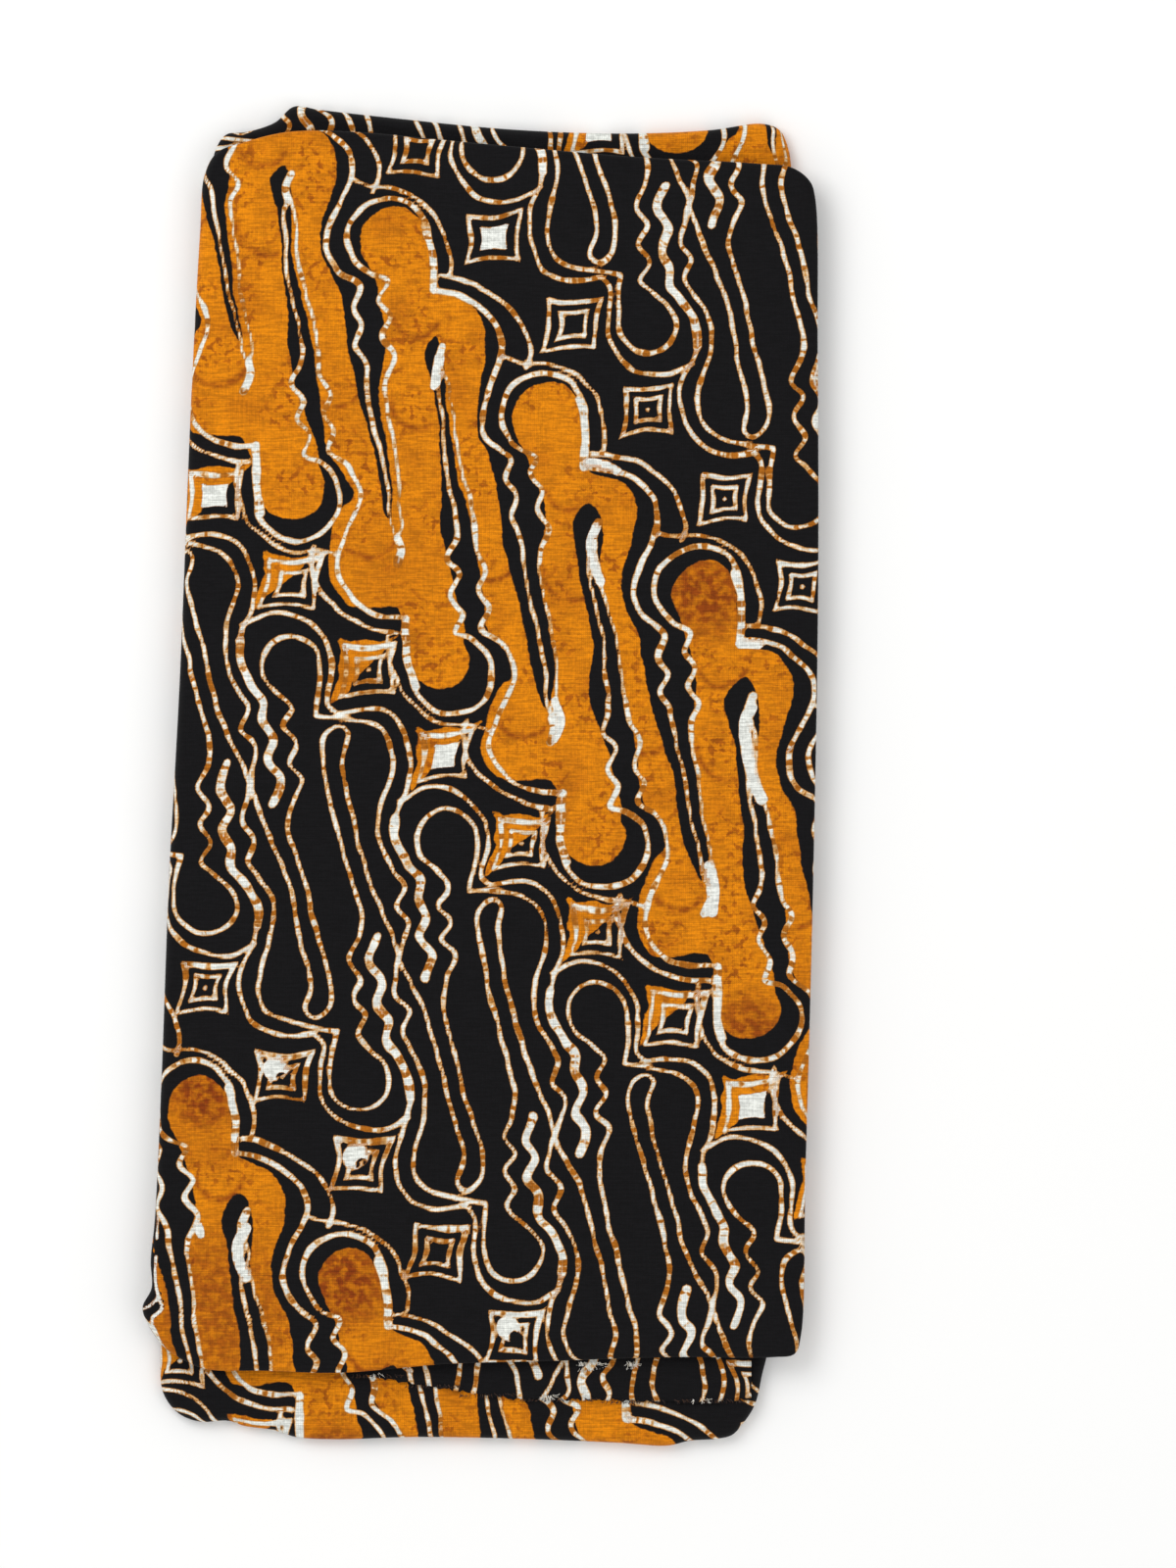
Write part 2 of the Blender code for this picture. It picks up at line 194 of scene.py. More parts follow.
UPPER_OUTLINE = (
    (-131, -258), (-122, -261.6), (-95, -262.4), (-63, -263.3), (-15, -259.4), (30, -258.1), (85, -256.4),
    (129, -256.4), (138, -255), (140.8, -247), (142.8, -176), (146.2, -47), (148.4, 83), (148.2, 190),
    (147.2, 254), (144.8, 262), (137, 268), (122, 269.8), (68, 272.8), (-11, 279.7), (-55, 283.8),
    (-84, 284), (-104, 279.5), (-117, 274.5), (-122.2, 265), (-124.2, 240), (-128, 169), (-133.3, 40),
    (-138, -47), (-141.2, -133), (-144.2, -196), (-146, -214), (-145.6, -226), (-149.6, -234.5),
    (-147.2, -242), (-140, -252),
)

LOWER_OUTLINE = (
    (-134.2, -281.6), (-124.6, -285.4), (-112, -285), (-105, -287.3), (-92, -289.2), (-82, -292.2),
    (-65.4, -293.2), (-29, -292.2), (21, -293.1), (61, -294.8), (82, -296), (92, -293.8), (104, -293),
    (110.4, -291.4), (114.8, -287), (120.6, -278), (124, -264), (126, -256), (131, -232), (137, -190),
    (141.5, -47), (143.5, 83), (141, 215), (137, 265), (135.4, 277), (131.5, 285.2), (124, 288),
    (101, 285.2), (64, 283.7), (14, 285.4), (-40, 290.6), (-72, 294.2), (-83, 295.6), (-91.5, 288.5),
    (-104, 284.4), (-113, 283.2), (-117.8, 276), (-120, 258), (-126, 169), (-131, 40), (-135.5, -47),
    (-138.5, -133), (-141, -198), (-141.8, -250), (-141, -272),
)

UPPER_CORNERS = ((-140, -252), (138.5, -254.5), (144, 263), (-118, 273))

CREASES = (
    Crease(-134, -234, 170, 34, 8, -0.6),
    Crease(-112, -232, 62, 80, 24, 0.4),
    Crease(-96, 235, 118, 80, 30, -0.4),
    Crease(22, 150, 62, 170, 46, 0.3),
    Crease(60, -40, 82, 260, 60, 0.3),
    Crease(-55, -60, 96, 300, 54, -0.3),
    Crease(40, -232, 4, 150, 28, -0.3),
    Crease(-22, -247, 40, 46, 5, 0.5),
)

# The raw end: how far out it is tucked and cut, at places across the bundle.
RAW_END_X = (-58, -39.5, -11, 15, 55, 97, 119)
RAW_END_INNER = (-250, -249.5, -249, -248.5, -248, -247.6, -247.4)
RAW_END_OUTER = (-263.4, -266.8, -271.6, -275.2, -275.6, -276.6, -275.4)

STAINS = (
    Stain(98, 80, 22, 0.95),
    Stain(-122, -140, 18, 1),
    Stain(-60, -224, 21, 1),
    Stain(-117, -234, 36, 0.75),
    Stain(118, -112, 17, 0.9),
    Stain(-40, 96, 26, 0.25),
)

UPPER_LAYERS = (
    Layer(8.95, 11.4, 5.6, 1.4, 6, 0.5),
    Layer(11.3, 13, 4.2, 0.3, 3, 0.3),
    Layer(12.9, 14.6, 4.6, 2.4, 3.2, 0.2),
)
LOWER_LAYERS = (
    Layer(0, 2.3, 0.7, 0.8, 0, 0.5),
    Layer(2.2, 4.4, 1.6, 1.2, 0, 0.5),
    Layer(4.3, 6.6, 0.5, 1.7, 0, 0.5),
    Layer(6.5, 9.3, 1.4, 0.6, 0, 0.5),
)

# The lattice of the pattern: rows of diamonds run down to the right, with bands of long shapes between them.
ROW_WAY = np.array((0.661, -0.750))
ACROSS_WAY = np.array((0.750, 0.661))
REPEAT = 102.4
DIAMOND_STEP = 51.2
CHART_STEP = 0.5
BAND_REACH = 96.0


class Ground(Enum):
    """The dye that fills a band."""

    BLACK = "black"
    OCHRE = "ochre"


class Strip(NamedTuple):
    """Where one band lies: the centre of one of its repeats, along the rows and across them."""

    ground: Ground
    along: float
    across: float


class DiamondRow(NamedTuple):
    """A row of diamonds: one of its centres, and how much of each diamond is left undyed or bleeds."""

    along: float
    across: float
    undyed: float
    bleeds: bool


STRIPS = (
    Strip(Ground.BLACK, -77.2, 234.9),
    Strip(Ground.OCHRE, -21, 72.8),
    Strip(Ground.BLACK, 88.8, -79.7),
    Strip(Ground.OCHRE, 103.9, -244),
)
DIAMOND_ROWS = (
    DiamondRow(30.4, 161, 0.25, False),
    DiamondRow(34.1, -6.7, 0.6, True),
    DiamondRow(41.5, -153.5, 0.7, False),
)

# The run of solid wax, which doesn't crack, and its margin. Other wax begins at the first run and steps on
# from unit to unit and from half to half, so that no two crack alike.
SOLID_WAX = -50.0
SOLID_MARGIN = 0.6
FIRST_RUN = 400.0
UNIT_RUN = 37.0
HALF_RUN = 211.0

# How many points a smooth curve has from one of its given points to the next.
PER_SPAN = 12

# Spacing of the samples of a wax stroke, and a distance well off all wax and dye.
STROKE_SPACING = 0.6
FAR = 1e2

# Half sizes of a diamond: its outer and inner rings, core and solid blob, and the ochre that bleeds past it.
OUTER_RING = 9.2
INNER_RING = 4.8
CORE = 1.2
BLOB = 5.6
BLEED = 12.2

# Half widths of the wax lines.
THIN = 1.0
MEDIUM = 1.15
BROAD = 1.3
HEAVY = 2.0


class Stroke(NamedTuple):
    """A wax line of a band: its half width, and the places, ovals and waves that it runs through."""

    half_width: float
    pieces: tuple


# One repeat of each band, from its centre. Its other half is the same strokes turned half round. A halo is
# the line outside another line.
STROKES = {
    Ground.BLACK: (
        # Head, neck and the long needle.
        Stroke(MEDIUM, (
            (-4, 69), (-2, 80), Oval(-15, 91, 13.2, 12.8, 0, 190), (-25.5, 83.5), (-19, 77.5),
            Wave(-15.5, 71, -13, 40, 4, 2.3), (-14.5, 30), (-16, 20), (-14.5, 12), (-9, -8), (-1.5, -35),
            (1.5, -50), (0.5, -60), (-5.5, -64.5), (-9.3, -61.5), (-7, -50), (-9.5, -37), (-19, 0),
            (-25.5, 19), (-31.5, 32), (-34.2, 38.6),
        )),
        # Shoulder.
        Stroke(MEDIUM, (
            (-4, 69), (10, 67.5), (20, 65), (26.5, 60), (29.5, 52), (28.5, 43), (24.5, 28), (24, 17),
            (26.5, 8), (30.5, 1), (34.3, -6), (31.2, -15), (37, -22.5), (35.6, -31), (34.2, -38.6),
        )),
        # Halo of the head.
        Stroke(MEDIUM, (
            (5, 70.5), (1.6, 75), (2.8, 86), (2.8, 95), (-1, 103.5), (-8, 110), (-16, 113), (-25, 113.5),
            (-35.8, 108.3),
        )),
        # Halo of the shoulder.
        Stroke(MEDIUM, (
            (5, 70.5), (15, 72.2), (23, 71.3), (30, 67.5), (35, 60), (37.3, 50), (36, 39), (32.5, 31),
            (30.8, 24),
        )),
        # Wavy tongue.
        Stroke(HEAVY, (
            (30.8, 24), (31, 15), (36, 4), (41.2, -3), (41, -11), (45.5, -19.3), (42.3, -28), (47.3, -36),
            (44.3, -47),
        )),
    ),
    Ground.OCHRE: (
        # Head and neck.
        Stroke(BROAD, (
            (5.5, 71.5), (5.8, 80), Oval(-13.5, 95.5, 18.8, 17.8, 0, 190), (-29.5, 86), (-23.5, 80),
            Wave(-18, 76.5, -12.5, 37, 5, 2.2), (-15.4, 29),
        )),
        # Thick side of the head.
        Stroke(HEAVY, (
            (5.5, 72), (5.8, 80), (5.4, 92), (2.5, 102),
        )),
        # Needle.
        Stroke(THIN, (
            (-15.4, 29), (-14.2, 19), (-11.6, 3), (-8.8, -15), (-7.2, -32), (-9.2, -35.5), (-11.3, -32),
            (-13.4, -17), (-16.6, -2), (-19.2, 10), (-21.2, 20), (-22.8, 31),
        )),
        # Tip of the needle.
        Stroke(HEAVY, (
            (-9, -36.5), (-8, -41), (-10.2, -48),
        )),
        # Wavy side and shoulder.
        Stroke(BROAD, (
            (-22.8, 31), Wave(-26, 41, -29.5, 75, 4, -1.9), (-36.5, 82.5), (-40.3, 90), (-40.5, 99),
            (-32.5, 118), (-30.5, 126), (-32, 133), (-37.5, 140), (-43, 144.5), (-51, 147.5),
            (-62.8, 148.8),
        )),
        # Halo of the head.
        Stroke(THIN, (
            (13.8, 80), (14.2, 88), (12.2, 97), (8, 106), (-2.7, 114.5), (-12.7, 118), (-22, 118.5),
            (-30.5, 121),
        )),
        # Halo of the shoulder.
        Stroke(MEDIUM, (
            (9.3, 78.5), (17.5, 77.2), (27, 73.8), (35, 69), (42, 63.5), (47, 55.5), (49, 46), (47, 39.5),
        )),
    ),
}

# Where ochre dye was brushed on one repeat, off its wax lines by a few millimetres. The needles keep it out.
DYE_BRUSHED = (
    (-19.5, 79), Oval(-10.8, 93, 14, 14, 215, 0), (4.5, 80), (7, 70.5), (22.5, 64.5), (27.2, 55), (27, 45),
    (21.8, 22), (23.6, 9), (28.2, -1), (34, -32), (43.2, -65), (50, -100), (55, -113), (44, -118),
    (34, -110), (40.5, -92), (30, -75), (27.5, -58), (23, -30), (16.5, 5), (13, 20), (12.5, 45), (8, 56),
    (-0.5, 48), (2.6, 26), (7.6, -10), (6.6, -30), (11.3, -48), (20.5, -76.5),
    Oval(9.3, -90, 13.6, 13.6, 35, -180), (-6.5, -78), (-10, -66.5), (-23, -66), (-33, -65), (-40, -55),
    (-39, -40), (-30, -22), (-22, -26), (-16, -36), (-9.5, -29), (-12.5, 5), (-15.5, 30), (-12.5, 50),
    (-15, 63),
)

# Wax laid on by hand at single places of the upper cloth: long needle tips, thick corners, and the line that
# the pinched left rim turns up.
TOUCHES = (
    Stroke(2.2, ((50.5, 109.5), (48, 103), (49.5, 93), (52.5, 85.5))),
    Stroke(2.8, ((119, 30), (116.2, 24), (117.2, 10), (120.2, -3), (123.4, -10.5))),
    Stroke(2, ((32.3, 33), (35, 24), (32, 16))),
    Stroke(2.6, ((100.5, -40), (102.5, -50), (101.5, -60))),
    Stroke(2.4, ((-18.5, 184), (-20.5, 172))),
    Stroke(2.6, ((-104, -199.5), (-107.5, -207), (-106.5, -215), (-103.8, -221))),
    Stroke(2.2, ((-125, -198.5), (-123.8, -202))),
    Stroke(2.1, ((46.5, 138), (54, 137), (60, 134))),
    Stroke(2.3, ((114, 58), (122, 58))),
    Stroke(0.8, ((-143, -192), (-143.4, -204))),
    Stroke(0.95, (
        (-143.6, -212), (-144, -223), (-141.8, -231), (-140.9, -235), (-145.2, -239.5), (-143.2, -247),
        (-140, -256),
    )),
    Stroke(0.85, ((-150.5, -235.2), (-146, -233.4), (-143.6, -231))),
)

# Left of this line the rim stays black.
RIM_BLACK_Y = (-240, -235, -231, -223, -206)
RIM_BLACK_X = (-145.6, -140.9, -141.8, -144, -146)

# Edges of single brush loads, where the dye dried darker.
BRUSH_EDGES = (
    Oval(-2, 64, 11, 11.5, 200, 330),
    Oval(30.5, -44, 12, 10, 180, 330),
    Oval(0, 24, 13, 12, 170, 290),
    Oval(-22, -34, 13, 12, 200, 350),
)


def eased(low: float, high: float, value: Array) -> Array:
    """Smooth step from 0 at low to 1 at high."""
    t = np.clip((np.asarray(value, dtype=float) - low) / (high - low), 0.0, 1.0)
    return t * t * (3.0 - 2.0 * t)


def smooth_curve(points: Array | tuple[Place, ...], closed: bool) -> Array:
    """A centripetal Catmull-Rom curve.

    Args:
        points: the points that it passes through, one a row.
        closed: whether it returns to its first point.

    Returns:
        Its points, one a row.
    """
    points = np.asarray(points, dtype=float)
    if closed:
        padded = np.vstack((points[-1:], points, points[:2]))
    else:
        padded = np.vstack((2 * points[0] - points[1], points, 2 * points[-1] - points[-2]))
    spans = []
    for before, start, end, after in zip(padded, padded[1:], padded[2:], padded[3:]):
        t1 = math.sqrt(np.linalg.norm(start - before)) + 1e-9
        t2 = t1 + math.sqrt(np.linalg.norm(end - start)) + 1e-9
        t3 = t2 + math.sqrt(np.linalg.norm(after - end)) + 1e-9
        t = (t1 + (t2 - t1) * np.arange(PER_SPAN) / PER_SPAN)[:, None]
        a1 = before + (start - before) * t / t1
        a2 = start + (end - start) * (t - t1) / (t2 - t1)
        a3 = end + (after - end) * (t - t2) / (t3 - t2)
        b1 = a1 + (a2 - a1) * t / t2
        b2 = a2 + (a3 - a2) * (t - t1) / (t3 - t1)
        spans.append(b1 + (b2 - b1) * (t - t1) / (t2 - t1))
    curve = np.vstack(spans)
    return curve if closed else np.vstack((curve, points[-1:]))


@dataclass
class Curve:
    """A polyline that can be read at any share of its length. Its normals are taken over a reach in mm."""

    points: Array
    closed: bool = False
    reach: float = 1.5
    run: Array = field(init=False)

    def __post_init__(self) -> None:
        """Measures the run to each point."""
        if self.closed:
            self.points = np.vstack((self.points, self.points[:1]))
        steps = np.linalg.norm(np.diff(self.points, axis=0), axis=1)
        self.run = np.concatenate(([0.0], np.cumsum(steps)))

    @property
    def length(self) -> float:
        """The curve's whole length."""
        return float(self.run[-1])

    def at(self, share: Array) -> Array:
        """Places at shares of the length, one row for each."""
        wanted = np.asarray(share) * self.length
        return np.stack([np.interp(wanted, self.run, self.points[:, axis]) for axis in (0, 1)], axis=-1)

    def outward(self, share: Array) -> Array:
        """Unit outward normals of an anticlockwise curve.

        Args:
            share: shares from 0 to 1.

        Returns:
            One row of X and Y for each share.
        """
        near = self.reach / self.length
        if self.closed:
            ahead, behind = self.at((share + near) % 1.0), self.at((share - near) % 1.0)
        else:
            ahead, behind = self.at(np.minimum(share + near, 1.0)), self.at(np.maximum(share - near, 0.0))
        run = ahead - behind
        run /= np.linalg.norm(run, axis=-1, keepdims=True)
        return np.stack((run[..., 1], -run[..., 0]), axis=-1)


def wander(x: Array, y: Array, size: float, seed: float) -> Array:
    """A slow, uneven field from -1 to 1 that doesn't repeat on the cloth.

    Args:
        x: places across.
        y: places along.
        size: the rough distance between its highs.
        seed: a number that picks one field.

    Returns:
        The field at each place.
    """
    k = 2.0 * math.pi / size
    first = np.sin(k * (0.83 * x + 0.41 * y) + seed)
    second = np.sin(k * (-0.37 * x + 0.89 * y) * 1.31 + seed * 2.3 + 1.1 * first)
    third = np.sin(k * (0.57 * x - 0.71 * y) * 2.17 + seed * 3.7 + 0.8 * second)
    return (first + second + 0.6 * third) / 2.6


@dataclass
class Chart:
    """One repeat of a band, as grids of its values over the row way and across it."""

    wax: Array
    run: Array
    dye: Array
    edge: Array

    def cells(self, along: Array, across: Array) -> tuple[Array, Array]:
        """Places along the row and across the band, in steps of the grids."""
        return (along % REPEAT) / REPEAT * len(self.wax), (across + BAND_REACH) / CHART_STEP

    def read(self, grid: Array, along: Array, across: Array) -> Array:
        """Reads a grid between its points, repeating along the row.

        Args:
            grid: one of the chart's grids.
            along: places along the row.
            across: places across the band, from its middle.

        Returns:
            The value at each place.
        """
        columns, rows = grid.shape
        a, n = self.cells(along, across)
        n = np.clip(n, 0.0, rows - 1.001)
        a0, n0 = np.floor(a).astype(int), np.floor(n).astype(int)
        fa, fn = a - a0, n - n0
        a0, a1 = a0 % columns, (a0 + 1) % columns
        low = grid[a0, n0] * (1 - fa) + grid[a1, n0] * fa
        high = grid[a0, n0 + 1] * (1 - fa) + grid[a1, n0 + 1] * fa
        return low * (1 - fn) + high * fn

    def nearest(self, grid: Array, along: Array, across: Array) -> Array:
        """Reads a grid in the same way, but at its nearest point."""
        a, n = (np.rint(value).astype(int) for value in self.cells(along, across))
        return grid[a % grid.shape[0], np.clip(n, 0, grid.shape[1] - 1)]


def stroke_points(pieces: tuple, closed: bool = False, spacing: float = STROKE_SPACING) -> Array:
    """Evenly spaced samples of a stroke.

    Args:
        pieces: its places, ovals and waves in order.
        closed: whether it returns to its first point.
        spacing: the distance between samples.

    Returns:
        One row of X and Y for each sample.
    """
    knots = []
    for piece in pieces:
        knots.extend(piece.knots() if isinstance(piece, (Oval, Wave)) else [piece])
    curve = Curve(smooth_curve(np.array(knots), closed=closed))
    return curve.at(np.linspace(0.0, 1.0, int(curve.length / spacing) + 2))


def chart_places() -> Array:
    """The points of a chart.

    Returns:
        The X and Y of each, in columns along the row and rows across the band.
    """
    columns = int(round(REPEAT / CHART_STEP))
    along = np.arange(columns) * REPEAT / columns
    across = np.arange(-BAND_REACH, BAND_REACH + CHART_STEP, CHART_STEP)
    return along[:, None, None] * ROW_WAY + across[None, :, None] * ACROSS_WAY


def wax_grids(strokes: tuple[Stroke, ...]) -> tuple[Array, Array]:
    """Distances to the wax strokes of a band.

    Args:
        strokes: the strokes of one repeat.

    Returns:
        The distance to the wax, below zero in it, and the distance run along the nearest stroke.
    """
    places = chart_places()
    shape = places.shape[:-1]
    wax = np.full(shape, np.inf)
    run = np.zeros(shape)
    for half_width in sorted({stroke.half_width for stroke in strokes}):
        samples = []
        runs = []
        for stroke in strokes:
            if stroke.half_width != half_width:
                continue
            points = stroke_points(stroke.pieces)
            length = np.arange(len(points)) * STROKE_SPACING
            for turned in (1.0, -1.0):
                for unit in range(-2, 4):
                    samples.append(points * turned + unit * REPEAT * ROW_WAY)
                    runs.append(length + UNIT_RUN * unit + HALF_RUN * turned + FIRST_RUN)
        samples = np.vstack(samples)
        runs = np.concatenate(runs)
        tree = KDTree(len(samples))
        for index, (x, y) in enumerate(samples):
            tree.insert((x, y, 0.0), index)
        tree.balance()
        found = [tree.find((x, y, 0.0)) for x, y in places.reshape(-1, 2)]
        gaps = np.array([hit[2] for hit in found]).reshape(shape) - half_width
        near = runs[[hit[1] for hit in found]].reshape(shape)
        run = np.where(gaps < wax, near, run)
        wax = np.minimum(wax, gaps)
    return wax, run


def outline_distance(places: Array, outline: Array) -> Array:
    """Distance to a closed outline, below zero inside it.

    Args:
        places: grid of X and Y.
        outline: the outline's points, one a row.

    Returns:
        The distance at each place.
    """
    best = np.full(places.shape[:-1], np.inf)
    inside = np.zeros(places.shape[:-1], dtype=bool)
    for start, end in zip(outline, np.roll(outline, -1, axis=0)):
        run = end - start
        share = np.clip(((places - start) @ run) / (run @ run), 0.0, 1.0)
        best = np.minimum(best, np.linalg.norm(places - start - share[..., None] * run, axis=-1))
        crosses = (places[..., 1] < start[1]) != (places[..., 1] < end[1])
        height = run[1] if run[1] else 1e-9
        inside ^= crosses & (places[..., 0] < start[0] + (places[..., 1] - start[1]) * run[0] / height)
    return np.where(inside, -best, best)


def dye_grids() -> tuple[Array, Array]:
    """Distances to the ochre dye of one repeat, below zero in it, and to the edges of its brush loads.

    Returns:
        A grid of each.
    """
    places = chart_places()
    outline = stroke_points(DYE_BRUSHED, closed=True, spacing=2.0)
    dye = np.full(places.shape[:-1], np.inf)
    edge = dye
    for unit in range(-2, 3):
        moved = places - unit * REPEAT * ROW_WAY
        dye = np.minimum(dye, outline_distance(moved, outline))
        for oval in BRUSH_EDGES:
            for point in stroke_points((oval,), spacing=1.5):
                edge = np.minimum(edge, np.linalg.norm(moved - point, axis=-1))
    return dye, edge


@dataclass
class Dyeing:
    """The pattern at some places: distances to the wax and the ochre dye, below zero inside them, the run
    along the nearest wax line, and the distance to the edge of a brush load.
    """

    wax: Array
    dye: Array
    run: Array
    edge: Array

    def lay_wax(self, gap: Array, run: Array) -> None:
        """Adds wax by the distance to it and its run."""
        self.run = np.where(gap < self.wax, run, self.run)
        self.wax = np.minimum(self.wax, gap)

    def lay_solid(self, gap: Array) -> None:
        """Adds wax that doesn't crack, nor does other wax within its margin."""
        self.run = np.where(gap < np.minimum(self.wax, SOLID_MARGIN), SOLID_WAX, self.run)
        self.wax = np.minimum(self.wax, gap)


@dataclass
class Pattern:
    """The whole wax-resist pattern, read at any place of the flat cloth."""

    charts: dict[Ground, Chart] = field(default_factory=dict)

    def __post_init__(self) -> None:
        """Charts one repeat of each band."""
        dye, edge = dye_grids()
        for ground, strokes in STROKES.items():
            wax, run = wax_grids(strokes)
            self.charts[ground] = Chart(wax, run, dye, edge)
        LOG.info("pattern charted")

    def read(self, x: Array, y: Array) -> dict[str, Array]:
        """The pattern's values at places of the flat cloth.

        Args:
            x: places across.
            y: places along.

        Returns:
            Distances to the wax and to the ochre dye, below zero inside them, the run along the nearest wax
            line, and how dark the dye is.
        """
        # The hand that drew the bands strays by up to 2 mm.
        wx = x + 1.5 * wander(x, y, 74.0, 0.4) + 0.5 * wander(x, y, 21.0, 2.0)
        wy = y + 1.5 * wander(x, y, 68.0, 5.1) + 0.5 * wander(x, y, 23.0, 4.0)
        along = wx * ROW_WAY[0] + wy * ROW_WAY[1]
        across = wx * ACROSS_WAY[0] + wy * ACROSS_WAY[1]
        blank = np.full(x.shape, FAR)
        cloth = Dyeing(blank, blank, np.zeros(x.shape), blank)
        for strip in STRIPS:
            a, n = along - strip.along, across - strip.across
            chart = self.charts[strip.ground]
            wax, dye, edge = (
                np.where(np.abs(n) < BAND_REACH - 1.0, chart.read(grid, a, n), FAR)
                for grid in (chart.wax, chart.dye, chart.edge)
            )
            cloth.lay_wax(wax, chart.nearest(chart.run, a, n))
            if strip.ground is Ground.OCHRE:
                cloth.dye, cloth.edge = np.minimum(cloth.dye, dye), np.minimum(cloth.edge, edge)

        # The dye is brushed wider at the upper left, and the wax lines swell and thin.
        cloth.dye = cloth.dye - 2.4 * eased(60.0, 110.0, -along) * eased(0.0, 30.0, across)
        cloth.wax = cloth.wax + 0.15 * wander(x, y, 58.0, 1.3) + 0.1 * wander(x, y, 19.0, 2.9)
        for row in DIAMOND_ROWS:
            self.add_diamonds(row, along, across, cloth)
        rim = np.interp(y, RIM_BLACK_Y, RIM_BLACK_X, left=-np.inf, right=-np.inf)
        cloth.dye = np.where(x < rim, FAR, cloth.dye)
        for touch in TOUCHES:
            for point in stroke_points(touch.pieces, spacing=0.8):
                cloth.lay_solid(np.hypot(x - point[0], y - point[1]) - touch.half_width)
        stain = 0.95 * np.exp(-((cloth.edge / 1.5) ** 2))
        for spot in STAINS:
            away = np.hypot(x - spot.x, y - spot.y) / spot.radius
            stain = np.maximum(stain, spot.strength * np.exp(-(away**4)))
        return {"wax": cloth.wax, "dye": cloth.dye, "run": cloth.run, "stain": stain}

    @staticmethod
    def add_diamonds(row: DiamondRow, along: Array, across: Array, cloth: Dyeing) -> None:
        """Adds a row of diamonds. A diamond's luck, from 0 to 1, picks its rings, its blob and its lean.

        Args:
            row: the row.
            along: places along the rows.
            across: places across the rows.
            cloth: what is on the cloth so far.
        """
        step = np.rint((along - row.along) / DIAMOND_STEP)
        a = along - row.along - step * DIAMOND_STEP
        n = across - row.across
        luck = np.sin(step * 12.9 + row.across) * 43.7 % 1.0
        x, y = (a * ROW_WAY[axis] + n * ACROSS_WAY[axis] for axis in (0, 1))
        lean = 0.12 + 0.14 * (luck - 0.5)
        u = np.abs(x * np.cos(lean) - y * np.sin(lean))
        v = np.abs(x * np.sin(lean) + y * np.cos(lean) - 0.12 * x)
        far, near = np.maximum(u, v), np.minimum(u, v)
        square = far / (1.0 + 0.16 * (near / np.maximum(far, 1e-6)) ** 2)
        away = np.hypot(x, y)
        heavy_side = 1.0 + 0.9 * row.undyed * np.clip(np.cos(np.arctan2(y, x) - 2.4 + 2.0 * luck), 0.0, 1.0)
        outer = np.abs(square - OUTER_RING - 0.5 * luck) - heavy_side
        inner = np.abs(square - INNER_RING) - 1.05
        blob = np.maximum(np.hypot(x + 3.6 - 2.0 * luck, y - 3.4) - BLOB, 2.3 - away)
        white = square - 5.0 - luck
        rings = np.minimum(outer, inner)
        rings = np.where(luck > 0.55, rings, np.minimum(rings, away - CORE))
        solid = np.where((luck > 0.45) & (luck < 0.4 + 0.6 * row.undyed), blob, FAR)
        solid = np.where(luck < 0.4 * row.undyed, white, solid)
        rings = np.where(luck < 0.4 * row.undyed, outer, rings)
        cloth.lay_wax(rings, STROKE_SPACING * np.where(u > v, v, u + 31.0) + step * 13.0 + FIRST_RUN)
        cloth.lay_solid(solid)
        if row.bleeds:
            bleed = np.maximum(square - BLEED, 4.0 * luck - 0.5 - 0.7 * (y - x))
            cloth.dye = np.minimum(cloth.dye, bleed + 1.2 * wander(x, y, 17.0, 3.0 + luck))


@dataclass(frozen=True)
class Finish:
    """Colours and grain of the dyed cotton."""

    name: str = "batik_cotton"
    black: str = "#0F0E10"
    ochre: str = "#E28606"
    ochre_dark: str = "#8A3A08"
    cream: str = "#EBEDE6"
    honey: str = "#DFB070"
    tick: str = "#AE6616"
    weave_pitch_mm: float = 0.9
    roughness: float = 0.9
    sheen: float = 0.04


def linear(hex_colour: str) -> Colour:
    """Turns an sRGB hex colour into Blender's linear colour.

    Args:
        hex_colour: such as "#DC8A12".

    Returns:
        Red, green, blue and alpha.
    """
    values = [int(hex_colour[at : at + 2], 16) / 255.0 for at in (1, 3, 5)]
    levels = [v / 12.92 if v <= 0.04045 else ((v + 0.055) / 1.055) ** 2.4 for v in values]
    return (*levels, 1.0)


